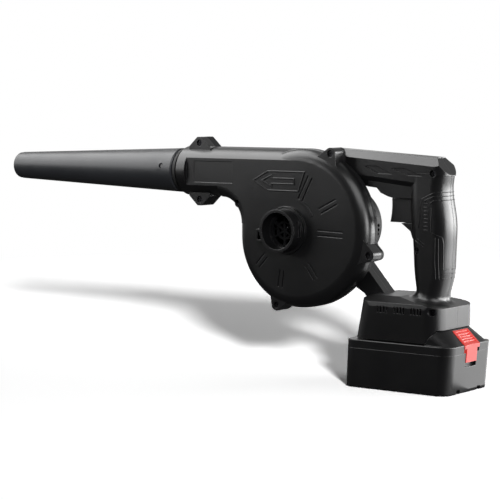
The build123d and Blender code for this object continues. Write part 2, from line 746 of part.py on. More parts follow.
def motor_cover():
    """Round cap over the motor's end, with rows of small vent holes."""
    body = fan_rod(TUBE_END_Y, COVER_END_Y, TUBE_R)
    body = fillet(body.edges().sort_by(Axis.Y)[-1], COVER_EDGE_R)
    inner = fan_rod(TUBE_END_Y - 1, COVER_END_Y - WALL, TUBE_R - WALL)
    inner = fillet(inner.edges().sort_by(Axis.Y)[-1], COVER_EDGE_R - WALL)
    body -= inner
    for x, z in cover_screw_places():
        boss = cyl_y(x, z, TUBE_END_Y, COVER_END_Y - WALL / 2, SCREW_BOSS_R)
        body += boss & fan_rod(TUBE_END_Y, COVER_END_Y - WALL / 2, TUBE_R - WALL / 2)
    for x, z in cover_screw_places():
        body -= cyl_y(x, z, TUBE_END_Y - 1, COVER_END_Y, SCREW_R + LOOSE_FIT)
        body -= cyl_y(x, z, COVER_END_Y - WALL - SCREW_SINK, COVER_END_Y + 1, SCREW_HEAD_R + SLIDE_GAP)
    hub_r = BEARING_R + WALL
    body += ring_y(FAN_X, FAN_Z, BELL_END_Y + LOOSE_FIT, COVER_END_Y - WALL / 2, hub_r + WALL, hub_r)
    return body - vent_holes()


def vent_holes():
    """Two rows of round holes through the lower half of the cap's side and a ring of slots in its end."""
    holes = []
    count = int(180 / COVER_HOLE_STEP)
    for row, y in enumerate(COVER_ROWS):
        for step in range(count):
            angle = COVER_HOLE_TOP - COVER_HOLE_STEP * (step + row / 2)
            near_screw = any(abs((angle - a + 180) % 360 - 180) < 14 for a in COVER_SCREW_ANGLES)
            if not near_screw:
                spoke = Pos(FAN_X + TUBE_R, y, FAN_Z) * Rot(0, 90, 0) * Cylinder(COVER_HOLE_R, 4 * WALL)
                holes.append(turned(spoke, angle))
    wide = COVER_SLOT_W / 2
    turn = 360 / COVER_SLOTS
    for step in range(COVER_SLOTS):
        slot = box(FAN_X + COVER_SLOT_R0, FAN_X + COVER_SLOT_R1, COVER_END_Y - 2 * WALL, COVER_END_Y + 1,
                   FAN_Z - wide, FAN_Z + wide)
        holes.append(turned(slot, turn * (step + 0.5)))
    return holes


def nozzle():
    """Long tapered tube with a stepped mouth; its inside has the grooves that take the pips."""
    lip_x = NOZZLE_TIP_X + NOZZLE_LIP_LENGTH
    lip_r = NOZZLE_TIP_R - NOZZLE_LIP_STEP
    edge = NOZZLE_LIP_EDGE
    socket_x = SPIGOT_END_X - SLIDE_GAP * 2
    outer = ((NOZZLE_BASE_X, 0), (NOZZLE_BASE_X, NOZZLE_BASE_R - NOZZLE_BASE_EDGE),
             (NOZZLE_BASE_X - NOZZLE_BASE_EDGE, NOZZLE_BASE_R), (lip_x, NOZZLE_TIP_R), (lip_x, lip_r),
             (NOZZLE_TIP_X + edge, lip_r), (NOZZLE_TIP_X + edge / 3, lip_r - edge / 3),
             (NOZZLE_TIP_X, lip_r - edge), (NOZZLE_TIP_X, 0))
    bore = ((NOZZLE_BASE_X + 1, 0), (NOZZLE_BASE_X + 1, NOZZLE_BORE_R), (socket_x, NOZZLE_BORE_R),
            (socket_x, SPIGOT_R - SPIGOT_WALL), (NOZZLE_TIP_X + NOZZLE_MOUTH_LENGTH, NOZZLE_MOUTH_R),
            (NOZZLE_TIP_X - 1, NOZZLE_MOUTH_R), (NOZZLE_TIP_X - 1, 0))
    body = on_nozzle(outer) - on_nozzle(bore)
    for turn in (0, 180):
        body -= pip_track(turn)
        body -= pip_hole(turn)
    return body


def on_nozzle(points):
    """A profile of (x, radius) points spun about the nozzle's axis."""
    plane = Plane(origin=(0, DUCT_Y, DUCT_Z), x_dir=(1, 0, 0), z_dir=(0, -1, 0))
    return revolve(plane * outline(points), axis=NOZZLE_AXIS)


def pip_track(turn):
    """The groove inside the nozzle that a pip runs in as the nozzle is twisted and pulled off."""
    reach = PIP_R + PIP_GAP
    floor = SPIGOT_R + PIP_HEIGHT + SLIDE_GAP
    hoop = cyl_x(PIP_X - reach, PIP_X + reach, DUCT_Y, DUCT_Z, floor)
    hoop -= cyl_x(PIP_X - reach - 1, PIP_X + reach + 1, DUCT_Y, DUCT_Z, SPIGOT_R - SPIGOT_WALL)
    margin = degrees(reach / SPIGOT_R)
    start = turn - PIP_ANGLE - NOZZLE_TWIST - margin
    wedge = pie(floor + 5, start, NOZZLE_TWIST + 2 * margin, PIP_X - reach, PIP_X + reach)
    run = cyl_x(PIP_X - reach, NOZZLE_BASE_X + 1, DUCT_Y, DUCT_Z, floor)
    run -= cyl_x(PIP_X - reach - 1, NOZZLE_BASE_X + 2, DUCT_Y, DUCT_Z, SPIGOT_R - SPIGOT_WALL)
    exit_wedge = pie(floor + 5, start, 2 * margin, PIP_X - reach, NOZZLE_BASE_X + 1)
    return (hoop & wedge) + (run & exit_wedge)


def pie(r, start, sweep_angle, x0, x1):
    """A wedge about the nozzle's axis; angle 0 faces the inlet side and grows about +X."""
    plane = Plane(origin=(0, DUCT_Y, DUCT_Z), x_dir=(0, -1, 0), z_dir=(1, 0, 0))
    a0 = radians(start)
    a1 = radians(start + sweep_angle)
    middle = (a0 + a1) / 2
    far = r / cos((a1 - a0) / 2)
    face = outline(((0, 0), (r * cos(a0), r * sin(a0)), (far * cos(middle), far * sin(middle)),
                    (r * cos(a1), r * sin(a1))))
    placed = Plane(origin=(x0, DUCT_Y, DUCT_Z), x_dir=plane.x_dir, z_dir=plane.z_dir) * face
    return extrude(placed, x1 - x0, dir=(1, 0, 0))


def pip_hole(turn):
    """The round hole that shows a pip when the nozzle is locked."""
    drill = Pos(PIP_X, DUCT_Y, DUCT_Z) * Rot(90, 0, 0) * Pos(0, 0, NOZZLE_BASE_R)
    drill = drill * Cylinder(PIP_R + PIP_GAP, NOZZLE_BASE_R / 2)
    return drill.rotate(NOZZLE_AXIS, turn - PIP_ANGLE)


def outlet_ring():
    """Soft ring on the spigot between the housing's collar and the nozzle."""
    x1 = COLLAR_END_X - SEAL_GAP
    body = cyl_x(x1 - SEAL_WIDTH, x1, DUCT_Y, DUCT_Z, SEAL_R)
    body = fillet(body.edges(), SEAL_EDGE)
    return body - cyl_x(x1 - SEAL_WIDTH - 1, x1 + 1, DUCT_Y, DUCT_Z, SPIGOT_R + RUN_FIT)


def inlet_guard():
    """Grille inside the collar: an outer ring, an inner ring and ribs that cross it."""
    y0 = RIM_Y + GUARD_SETBACK
    y1 = y0 + GUARD_T
    outer = INLET_THROAT_R - RUN_FIT
    body = fan_ring(y0, y1, outer, outer - GUARD_RIB)
    body += fan_ring(y0, y1, outer / 2 + GUARD_RIB / 2, outer / 2 - GUARD_RIB / 2)
    for turn in range(3):
        bar = box(FAN_X - outer + GUARD_RIB / 2, FAN_X + outer - GUARD_RIB / 2, y0, y1,
                  FAN_Z - GUARD_RIB / 2, FAN_Z + GUARD_RIB / 2)
        body += turned(bar, 60 * turn + 30)
    return body


def impeller():
    """Fan wheel: hub, back plate and swept blades."""
    front_y = FACE_Y + WALL + IMPELLER_FRONT_GAP
    back_y = IMPELLER_BACK_Y
    body = fan_rod(back_y - IMPELLER_BACK_T, back_y, IMPELLER_R)
    body += fan_rod(SHAFT_FRONT_Y + NUT_H + 2, back_y + BACK_WALL, IMPELLER_HUB_R)
    blade = trace(blade_line(), BLADE_T)
    for number in range(BLADES):
        placed = Pos(FAN_X, FAN_Z) * Rot(0, 0, 360 / BLADES * number) * blade
        body += slab(placed, front_y, back_y - IMPELLER_BACK_T)
    cone = fan_cone(front_y, back_y - IMPELLER_BACK_T)
    body -= cone
    return body - fan_rod(SHAFT_FRONT_Y - 1, back_y + BACK_WALL + 1, SHAFT_R)


def blade_line():
    """A blade's middle line from the hub to the tip, an arc that trails the turn."""
    start = radians(0)
    end = radians(-BLADE_SWEEP)
    inner = IMPELLER_HUB_R - 1
    outer = IMPELLER_R - BLADE_T
    mid_r = (inner + outer) / 2
    mid = radians(-BLADE_SWEEP * 0.32)
    return ThreePointArc((inner * cos(start), inner * sin(start)), (mid_r * cos(mid), mid_r * sin(mid)),
                         (outer * cos(end), outer * sin(end)))


def fan_cone(front_y, back_y):
    """The space in the wheel's eye that clears the blades' front corners down towards the hub."""
    depth = (back_y - front_y) * 0.45
    profile = outline(((front_y - 1, IMPELLER_HUB_R + BLADE_T), (front_y - 1, IMPELLER_EYE_R),
                       (front_y, IMPELLER_EYE_R), (front_y + depth, IMPELLER_HUB_R + BLADE_T)))
    plane = Plane(origin=(FAN_X, 0, FAN_Z), x_dir=(0, 1, 0), z_dir=(1, 0, 0))
    return revolve(plane * profile, axis=FAN_AXIS)


def impeller_nut():
    """Hexagon nut that holds the impeller on the shaft."""
    y0 = SHAFT_FRONT_Y + 2
    face = RegularPolygon(NUT_R, 6)
    body = slab(Pos(FAN_X, FAN_Z) * face, y0, y0 + NUT_H)
    return body - fan_rod(y0 - 1, y0 + NUT_H + 1, SHAFT_R)


def motor_shaft():
    body = fan_rod(SHAFT_FRONT_Y, SHAFT_BACK_Y, SHAFT_R)
    return chamfer(body.edges(), SHAFT_R / 6)


def motor_can():
    """Steel can, open at the brush end, with a round boss that locates it in the housing."""
    body = fan_rod(BACK_Y, MOTOR_END_Y, MOTOR_R) - fan_rod(BACK_Y + CAN_WALL, MOTOR_END_Y + 1, CAN_BORE_R)
    body += fan_rod(BACK_Y - MOTOR_BOSS_H, BACK_Y + CAN_WALL, MOTOR_BOSS_R)
    body += fan_rod(BACK_Y, BACK_Y + CAN_WALL + BEARING_W, MOTOR_BOSS_R)
    body -= fan_rod(BACK_Y, BACK_Y + 20, BEARING_R)
    body -= fan_rod(BACK_Y - 10, BACK_Y + 10, SHAFT_R + SLIDE_GAP * 2)
    for way in (1, -1):
        body -= cyl_y(FAN_X + way * MOTOR_SCREW_PITCH / 2, FAN_Z, BACK_Y - 1, BACK_Y + 5, SCREW_R + RUN_FIT)
    return body


def magnets():
    """Two curved magnets against the can's inside."""
    y0 = CORE_Y0 - 2
    ring = fan_ring(y0, y0 + MAGNET_LENGTH, CAN_BORE_R - RUN_FIT, CAN_BORE_R - MAGNET_T)
    group = []
    for way in (1, -1):
        reach = 2 * MOTOR_R
        a = radians(MAGNET_ARC / 2)
        sector = outline(((FAN_X, FAN_Z), (FAN_X - reach * sin(a), FAN_Z + way * reach * cos(a)),
                          (FAN_X - reach, FAN_Z + way * 2 * reach),
                          (FAN_X + reach, FAN_Z + way * 2 * reach),
                          (FAN_X + reach * sin(a), FAN_Z + way * reach * cos(a))))
        group.append(ring & slab(sector, y0, y0 + MAGNET_LENGTH))
    return group


def armature_core():
    """Slotted steel stack on the shaft."""
    body = fan_ring(CORE_Y0, CORE_Y1, CORE_R, SHAFT_R)
    for turn in range(5):
        slot = box(FAN_X + CORE_R * 0.45, FAN_X + CORE_R + 1, CORE_Y0 - 1, CORE_Y1 + 1,
                   FAN_Z - 1.6, FAN_Z + 1.6)
        body -= turned(slot, 72 * turn)
    return body


def windings():
    """Copper end turns at both ends of the stack."""
    outer = CORE_R - 1.5
    inner = SHAFT_R + 3
    front = fan_ring(CORE_Y0 - WINDING_OVERHANG + 1, CORE_Y0, outer, inner)
    back = fan_ring(CORE_Y1, CORE_Y1 + WINDING_OVERHANG - 1, outer, inner)
    return [front, back]


def commutator():
    """Segmented copper drum for the brushes."""
    y0 = CORE_Y1 + WINDING_OVERHANG - 1
    body = fan_ring(y0, y0 + COMMUTATOR_LENGTH, COMMUTATOR_R, SHAFT_R)
    for turn in range(5):
        gap = box(FAN_X + COMMUTATOR_R - 1, FAN_X + COMMUTATOR_R + 1, y0 - 1, y0 + COMMUTATOR_LENGTH + 1,
                  FAN_Z - 0.3, FAN_Z + 0.3)
        body -= turned(gap, 72 * turn)
    return body


def bearing(y0):
    """Bearing ring that stays still; the shaft runs in it."""
    return fan_ring(y0, y0 + BEARING_W, BEARING_R, SHAFT_R + RUN_FIT)


def bell_bearing_y():
    return BELL_END_Y - CAN_WALL - BEARING_W


def motor_end_bell():
    """Plastic end of the motor that holds the rear bearing and the brushes."""
    body = fan_rod(MOTOR_END_Y, BELL_END_Y, MOTOR_R)
    body -= fan_rod(MOTOR_END_Y - 1, BELL_END_Y - CAN_WALL * 2, CAN_BORE_R)
    body += fan_ring(MOTOR_END_Y, BELL_END_Y, BEARING_R + WALL, BEARING_R)
    body -= fan_rod(bell_bearing_y(), BELL_END_Y - CAN_WALL, BEARING_R)
    body -= fan_rod(MOTOR_END_Y, BELL_END_Y + 1, SHAFT_R + SLIDE_GAP * 2)
    for angle, y in MOTOR_LEADS:
        hole = cyl_y(FAN_X + MOTOR_LEAD_END_R, FAN_Z, MOTOR_END_Y - 1, BELL_END_Y + 1, LEAD_R + LOOSE_FIT)
        body -= turned(hole, angle)
    return body


def brush_places():
    y0 = CORE_Y1 + WINDING_OVERHANG - 1 + (COMMUTATOR_LENGTH - BRUSH_W) / 2
    return y0, y0 + BRUSH_W


def carbon_brushes():
    """Two carbon blocks that bear on the commutator."""
    y0, y1 = brush_places()
    start = COMMUTATOR_R + BRUSH_GAP
    group = []
    for way in (0, 180):
        block = box(FAN_X + start, FAN_X + start + BRUSH_LENGTH, y0, y1,
                    FAN_Z - BRUSH_W / 2, FAN_Z + BRUSH_W / 2)
        group.append(turned(block, way))
    return group


def brush_holders():
    """Brass boxes round the brushes, fixed to the can's inside."""
    y0, y1 = brush_places()
    t = BRUSH_HOLDER_T
    inner = COMMUTATOR_R + 3
    outer = hypot_reach(CAN_BORE_R - RUN_FIT, BRUSH_W / 2 + t)
    group = []
    for way in (0, 180):
        shell = box(FAN_X + inner, FAN_X + outer, y0 - t, y1 + t,
                    FAN_Z - BRUSH_W / 2 - t, FAN_Z + BRUSH_W / 2 + t)
        shell -= box(FAN_X + inner - 1, FAN_X + COMMUTATOR_R + BRUSH_GAP + BRUSH_LENGTH, y0, y1,
                     FAN_Z - BRUSH_W / 2, FAN_Z + BRUSH_W / 2)
        group.append(turned(shell, way))
    return group


def hypot_reach(radius, half_width):
    """How far a block of that half width reaches inside a circle."""
    return (radius ** 2 - half_width ** 2) ** 0.5


def motor_screws():
    seat = BACK_Y - BACK_WALL
    return [screw(FAN_X + way * MOTOR_SCREW_PITCH / 2, FAN_Z, seat, BACK_Y + CAN_WALL) for way in (1, -1)]


def cover_screws():
    seat = COVER_END_Y - WALL - SCREW_SINK
    return [screw(x, z, seat, TUBE_END_Y - 12) for x, z in cover_screw_places()]


def housing_screws():
    return [screw(x, z, front + SCREW_SINK, LUG_BACK_Y - WALL) for x, z, front in screw_places()]


def bar_section(x, inset):
    """The top bar's eight-sided section at a place along it."""
    top = BAR_TOP_Z + BAR_TOP_SLOPE * x - inset
    drop = BAR_CHAMFER + BAR_CHAMFER_SLOPE * x
    shrink = inset * 0.6
    wide = BAR_HALF - inset
    side = BAR_SIDE_Z + BAR_SIDE_SLOPE * x
    under = BAR_UNDER_Z + BAR_UNDER_SLOPE * x + inset
    top_half = BAR_HALF - drop - shrink
    under_half = BAR_UNDER_HALF - shrink
    points = ((-top_half, top), (-wide, top - drop + shrink), (-wide, side), (-under_half, under),
              (under_half, under), (wide, side), (wide, top - drop + shrink), (top_half, top))
    plane = Plane(origin=(x, 0, 0), x_dir=(0, 1, 0), z_dir=(1, 0, 0))
    return plane * outline(points)


def bar(inset):
    """The sloping top bar, its rear end cut at a slant."""
    ends = [bar_section(BAR_FRONT_X + inset, inset), bar_section(BAR_REAR_X - inset, inset)]
    body = loft(ends, ruled=True)
    top = BAR_TOP_Z + BAR_TOP_SLOPE * BAR_REAR_X
    cut = BAR_REAR_CUT + inset * 0.6
    plan = RectangleRounded(4 * BAR_HALF - inset, 2 * (BAR_HALF - inset), BAR_CORNER_R - inset)
    middle = BAR_REAR_X - inset - (4 * BAR_HALF - inset) / 2
    column = extrude(Pos(middle, 0, 0) * plan, 2 * top)
    column += box(BAR_FRONT_X - 1, middle, -BAR_HALF, BAR_HALF, 0, 2 * top)
    body = body & column
    drop = BAR_REAR_DROP + inset * 0.6
    wedge = outline(((BAR_REAR_X - cut, top + 5), (BAR_REAR_X - cut, top), (BAR_REAR_X, top - drop),
                     (BAR_REAR_X + 5, top - drop), (BAR_REAR_X + 5, top + 5)))
    body -= slab(wedge, -2 * BAR_HALF, 2 * BAR_HALF)
    return body - box(BAR_CUT_X + inset, 2 * BAR_REAR_X, -2 * BAR_HALF, 2 * BAR_HALF, 0, BAR_CUT_Z + inset)


def grip(inset):
    """The pistol grip, a smooth body through rounded sections that swell in the palm."""
    sections = []
    for z, front, rear, wide in GRIP_STATIONS:
        length = rear - front - 2 * inset
        width = 2 * (wide - inset)
        face = RectangleRounded(length, width, GRIP_CORNER_R - inset)
        sections.append(Pos((front + rear) / 2, 0, z) * face)
    return loft(sections)


def neck(inset):
    return slab(shrunk(NECK_POINTS, inset), -NECK_HALF + inset, NECK_HALF - inset)


def shelf(inset):
    """The lip of the grip under the trigger."""
    return slab(outline(SHELF_POINTS), -SHELF_HALF + inset, SHELF_HALF - inset)


def strut(inset):
    return slab(shrunk(STRUT_POINTS, inset), -STRUT_HALF + inset, STRUT_HALF - inset)


def arm(inset):
    """The cover behind the fan housing that carries the leads from the bar to the motor."""
    return slab(shrunk(ARM_POINTS, inset), inset, BAR_HALF - inset)


def foot(inset):
    """The block that the battery slides onto: side, plan and end views crossed."""
    notch_x = FOOT_NOTCH_X + FOOT_NOTCH_RUN
    side = ((FOOT_FRONT_X, FOOT_LOW_Z), (FOOT_NOTCH_X, FOOT_LOW_Z), (notch_x, FOOT_REAR_LOW_Z),
            (FOOT_REAR_X, FOOT_REAR_LOW_Z), (FOOT_REAR_X, FOOT_REAR_TOP_Z), (FOOT_CREASE_X, FOOT_TOP_Z),
            (FOOT_FRONT_X + 2 * FOOT_FRONT_LEAN, FOOT_TOP_Z),
            (FOOT_FRONT_X + FOOT_FRONT_LEAN, FOOT_TOP_Z - FOOT_LEAN))
    plans = []
    for z, front in ((FOOT_LOW_Z, FOOT_FRONT_X), (FOOT_TOP_Z, FOOT_FRONT_X + FOOT_FRONT_LEAN)):
        length = FOOT_REAR_X - front - 2 * inset
        plan = RectangleRounded(length, 2 * (FOOT_HALF - inset), FOOT_CORNER_R - inset)
        plans.append(Pos((FOOT_REAR_X + front) / 2, 0, z) * plan)
    column = loft(plans)
    slope_half = FOOT_HALF - FOOT_LEAN / 5
    slope_z = FOOT_SHOULDER_Z + FOOT_LEAN
    top_half = GRIP_HALF + FOOT_TOP_ROOM
    end = ((-FOOT_HALF, FOOT_LOW_Z), (FOOT_HALF, FOOT_LOW_Z), (FOOT_HALF, FOOT_SHOULDER_Z),
           (slope_half, slope_z), (top_half, FOOT_TOP_Z), (-top_half, FOOT_TOP_Z), (-slope_half, slope_z),
           (-FOOT_HALF, FOOT_SHOULDER_Z))
    plane = Plane(origin=(FOOT_FRONT_X, 0, 0), x_dir=(0, 1, 0), z_dir=(1, 0, 0))
    profile = extrude(plane * shrunk(end, inset), FOOT_REAR_X - FOOT_FRONT_X, dir=(1, 0, 0))
    return slab(shrunk(side, inset), -FOOT_HALF, FOOT_HALF) & column & profile


def foot_hollow():
    """The hollow above the battery bay."""
    space = foot(HANDLE_WALL)
    return space & box(FOOT_FRONT_X, FOOT_REAR_X, -FOOT_HALF, FOOT_HALF, BAY_PLATE_Z, FOOT_TOP_Z)


def battery_bay():
    """The T-shaped slot for the battery's rails, open at the rear, and the window for the terminals."""
    x0 = RAIL_FRONT_X - SLIDE_GAP
    x1 = FOOT_REAR_X + 1
    head_half = RAIL_HEAD_HALF + SLIDE_GAP
    neck_half = RAIL_NECK_HALF + SLIDE_GAP
    head = box(x0, x1, -head_half, head_half, RAIL_HEAD_Z - SLIDE_GAP, BAY_TOP_Z)
    stem = box(x0, x1, -neck_half, neck_half, FOOT_LOW_Z - 1, RAIL_HEAD_Z)
    x0, x1, y = terminal_window()
    window = box(x0, x1, -y, y, BAY_TOP_Z - 1, BAY_PLATE_Z + 1)
    return head + stem + window


def terminal_window():
    return CONTACT_X0 - 3, CONTACT_X1 + 3, CONTACT_PITCH + 6


def trigger_slot():
    """The opening in the grip's front that the trigger slides in."""
    y = TRIGGER_HALF + SLIDE_GAP
    return box(TRIGGER_FRONT_X - 5, GRIP_HALF, -y, y, TRIGGER_LOW_Z - SLIDE_GAP, TRIGGER_TOP_Z + SLIDE_GAP)


def vent_slots(way):
    """Three groups of four upright slots through one side of the foot."""
    slots = []
    for group in range(3):
        for number in range(4):
            x = VENT_X + group * VENT_GROUP_PITCH + (number - 1.5) * VENT_PITCH
            y = way * FOOT_HALF
            slots.append(box(x - VENT_W / 2, x + VENT_W / 2, y - 2 * HANDLE_WALL, y + 2 * HANDLE_WALL,
                             VENT_Z - VENT_H / 2, VENT_Z + VENT_H / 2))
    return slots


def flare_edges(body):
    """The edges where the grip meets the top of the foot."""
    chosen = []
    for edge in body.edges():
        room = edge.bounding_box()
        level = room.min.Z > FOOT_REAR_TOP_Z - 1 and room.max.Z < FOOT_TOP_Z + 1
        inside = room.min.X > FOOT_CREASE_X + 1 and max(room.max.Y, -room.min.Y) < GRIP_HALF + 1
        if level and inside and edge.geom_type != GeomType.LINE:
            chosen.append(edge)
    return chosen


def handle_outer():
    """The handle's outside, its grip flared into the foot as far as the foot's top leaves room."""
    body = bar(0) + grip(0) + neck(0) + shelf(0) + strut(0) + foot(0) + arm(0)
    return fillet(flare_edges(body), min(GRIP_FLARE_R, FOOT_TOP_ROOM - FLARE_EDGE))


def handle_hollow():
    wall = HANDLE_WALL
    return bar(wall) + grip(wall) + neck(wall) + strut(wall) + foot_hollow() + arm(wall)


def handle_shell(outer):
    """Both handle halves before they are split, fitted round the fan housing."""
    body = outer - rear_outer() - fan_rod(BACK_Y, COVER_END_Y, TUBE_R)
    body -= rear_lugs()
    body -= half(duct_outer(), SEAM_Y, DUCT_Y + 2 * DUCT_R)
    body -= handle_hollow()
    body -= battery_bay()
    body -= trigger_slot()
    return body


def seat_ribs(way):
    """Ribs inside a handle half that hold the switch."""
    y0 = SWITCH_HALF
    y1 = GRIP_HALF - HANDLE_WALL / 2
    low = min(way * y0, way * y1)
    high = max(way * y0, way * y1)
    ribs = []
    for z in (SWITCH_LOW_Z + SEAT_RIB_T, SWITCH_TOP_Z - 3 * SEAT_RIB_T):
        ribs.append(box(SWITCH_FRONT_X + SEAT_RIB_T, SWITCH_REAR_X - SEAT_RIB_T, low, high,
                        z, z + SEAT_RIB_T))
    return ribs


def handle_half(shell, outer, way):
    """One half of the handle with its screw bosses, switch ribs and vents."""
    reach = 2 * FOOT_HALF
    body = half(shell, -reach, 0) if way < 0 else half(shell, 0, reach)
    for x, z, skin in HANDLE_SCREWS:
        boss = cyl_y(x, z, min(0, way * skin), max(0, way * skin), SCREW_BOSS_R)
        body += boss & outer
    for rib in seat_ribs(way):
        body += rib
    for x, z, skin in HANDLE_SCREWS:
        if way < 0:
            body -= cyl_y(x, z, -skin - SCREW_BOSS_R, -skin + SCREW_SINK, SCREW_HEAD_R + SLIDE_GAP)
            body -= cyl_y(x, z, -skin, 1, SCREW_R + LOOSE_FIT)
        else:
            body -= cyl_y(x, z, -1, handle_screw_tip(skin) + 1, SCREW_R + RUN_FIT)
    for slot in vent_slots(way):
        body -= slot
    for points in BAR_POCKETS:
        y0, y1 = sorted((way * (BAR_HALF - BAR_POCKET_DEPTH), way * 2 * BAR_HALF))
        body -= slab(outline(points), y0, y1)
    return body


def handle_screw_tip(skin):
    return skin * 0.6


def handle_screws():
    return [screw(x, z, -skin + SCREW_SINK, handle_screw_tip(skin)) for x, z, skin in HANDLE_SCREWS]


def trigger():
    """Finger trigger with a hollow front and a stem that enters the switch."""
    z0 = TRIGGER_LOW_Z
    z1 = TRIGGER_TOP_Z
    middle = (z0 + z1) / 2
    edges = [
        ThreePointArc((TRIGGER_FRONT_X, z0), (TRIGGER_TOP_X, middle), (TRIGGER_TOP_X, z1)),
        Line((TRIGGER_TOP_X, z1), (TRIGGER_REAR_X, z1)),
        Line((TRIGGER_REAR_X, z1), (TRIGGER_REAR_X, z0)),
        Line((TRIGGER_REAR_X, z0), (TRIGGER_FRONT_X, z0)),
    ]
    body = slab(make_face(edges), -TRIGGER_HALF, TRIGGER_HALF)
    front = [e for e in body.edges() if e.center().X < TRIGGER_TOP_X + 1 and abs(e.center().Y) > 1]
    body = fillet(front, TRIGGER_HALF / 3)
    return body + cyl_x(TRIGGER_REAR_X, SWITCH_FRONT_X + 4, 0, middle, TRIGGER_STEM_R)


def trigger_mid_z():
    return (TRIGGER_LOW_Z + TRIGGER_TOP_Z) / 2


def trigger_switch():
    """Switch block with the bore that the trigger's stem slides in."""
    body = box(SWITCH_FRONT_X, SWITCH_REAR_X, -SWITCH_HALF, SWITCH_HALF, SWITCH_LOW_Z, SWITCH_TOP_Z)
    body = chamfer(body.edges().filter_by(Axis.Y), 1.0)
    depth = SWITCH_FRONT_X + 4 + TRIGGER_TRAVEL + 1
    return body - cyl_x(SWITCH_FRONT_X - 1, depth, 0, trigger_mid_z(), TRIGGER_STEM_R + RUN_FIT)


def trigger_spring():
    length = SWITCH_FRONT_X - TRIGGER_REAR_X
    return coil((TRIGGER_REAR_X, 0, trigger_mid_z()), (1, 0, 0), length, SPRING_R, SPRING_PITCH)


def lead(points):
    """A wire along straight runs joined by arcs."""
    path = FilletPolyline(*points, radius=LEAD_BEND_R)
    return sweep(Plane(origin=path @ 0, z_dir=path % 0) * Circle(LEAD_R), path=path)


def motor_leads():
    """Two wires from the switch through the bar and the arm, along the motor and into its end."""
    group = []
    for way, (angle, y) in zip((-1, 1), MOTOR_LEADS):
        rise_x = SWITCH_FRONT_X + SEAT_RIB_T
        drop_r = (BAR_LEAD_Z - FAN_Z) / sin(radians(angle))
        points = [(rise_x, way * LEAD_Y, SWITCH_TOP_Z), (rise_x, way * LEAD_Y, BAR_LEAD_Z),
                  (SWITCH_FRONT_X - BAR_HALF * 3, y, BAR_LEAD_Z)]
        for reach, along in ((drop_r, y), (MOTOR_LEAD_RUN_R, y), (MOTOR_LEAD_RUN_R, MOTOR_LEAD_TURN_Y),
                             (MOTOR_LEAD_END_R, MOTOR_LEAD_TURN_Y), (MOTOR_LEAD_END_R, MOTOR_END_Y + 2)):
            points.append((FAN_X + reach * cos(radians(angle)), along, FAN_Z + reach * sin(radians(angle))))
        group.append(lead(points))
    return group


def battery_leads():
    """Two wires from the terminal block up the grip to the switch."""
    group = []
    for way in (-1, 1):
        y = way * LEAD_Y
        x0 = (CONTACT_X0 + CONTACT_X1) / 2
        x1 = SWITCH_FRONT_X + 9
        z0 = terminal_top_z()
        group.append(lead(((x0, y, z0), (x0, y, z0 + 9), (x1, y, z0 + 16), (x1, y, SWITCH_LOW_Z))))
    return group


def terminal_top_z():
    return BAY_PLATE_Z + 6


def terminal_block():
    """Block that holds the blades in the window above the battery bay."""
    x0, x1, y = terminal_window()
    gap = SLIDE_GAP
    body = box(x0 + gap, x1 - gap, -y + gap, y - gap, BAY_TOP_Z, terminal_top_z())
    body += box(x0 - 3, x1 + 3, -y - 3, y + 3, BAY_PLATE_Z, BAY_PLATE_Z + 3)
    for place in contact_places():
        body -= box(CONTACT_X0, CONTACT_X1, place - BLADE_PLATE_T / 2, place + BLADE_PLATE_T / 2,
                    BAY_TOP_Z - 1, BAY_PLATE_Z + 3)
    return body


def contact_places():
    return (-CONTACT_PITCH, 0, CONTACT_PITCH)


def terminal_blades():
    """Flat blades that hang into the battery's slots."""
    t = BLADE_PLATE_T / 2
    return [box(CONTACT_X0, CONTACT_X1, y - t, y + t, BLADE_LOW_Z, BAY_PLATE_Z + 3) for y in contact_places()]


def battery_case(inset, rear_inset):
    """The battery's body: rounded in plan, leaning a little at the front and flared at the rear."""
    sections = []
    for z, front_x, rear_x in ((0, -BAT_LENGTH / 2, BAT_LENGTH / 2),
                               (BAT_H, -BAT_LENGTH / 2 + BAT_FRONT_LEAN, BAT_LENGTH / 2 + BAT_REAR_FLARE)):
        x0 = front_x + inset
        x1 = rear_x - rear_inset
        face = RectangleRounded(x1 - x0, 2 * (BAT_HALF - inset), BAT_CORNER_R - inset)
        sections.append(Pos((x0 + x1) / 2, 0, z) * face)
    return loft(sections)


def battery_hollow():
    space = battery_case(BAT_WALL, BAT_REAR_WALL + BAT_REAR_FLARE)
    return space & box(-BAT_LENGTH, BAT_LENGTH, -BAT_HALF, BAT_HALF, BAT_WALL, BAT_H - BAT_WALL)


def battery_shoulder():
    """The raised rear part of the battery that slopes down to the latch."""
    gap = SLIDE_GAP
    x0 = FOOT_NOTCH_X + gap * 2
    x1 = x0 + FOOT_NOTCH_RUN * (SLOPE_TOP_Z - FOOT_LOW_Z) / (FOOT_REAR_LOW_Z - FOOT_LOW_Z)
    low = BAT_H - BAT_WALL
    side = outline(((x0, low), (x0, FOOT_LOW_Z), (x1, SLOPE_TOP_Z), (SLOPE_TOP_X, SLOPE_TOP_Z),
                    (LATCH_SEAT_X - 1, BAT_H), (LATCH_SEAT_X - 1, low)))
    hips = []
    for z, rear, radius in ((low, LATCH_SEAT_X - 1, BAT_CORNER_R), (BAT_H, LATCH_SEAT_X - 1, BAT_CORNER_R),
                            (SLOPE_TOP_Z, SLOPE_TOP_X, SHOULDER_TOP_R)):
        plan = RectangleRounded(BAT_LENGTH, 2 * SHOULDER_HALF, radius)
        hips.append(Pos(rear - BAT_LENGTH / 2, 0, z) * plan)
    return slab(side, -SHOULDER_HALF, SHOULDER_HALF) & loft(hips, ruled=True)


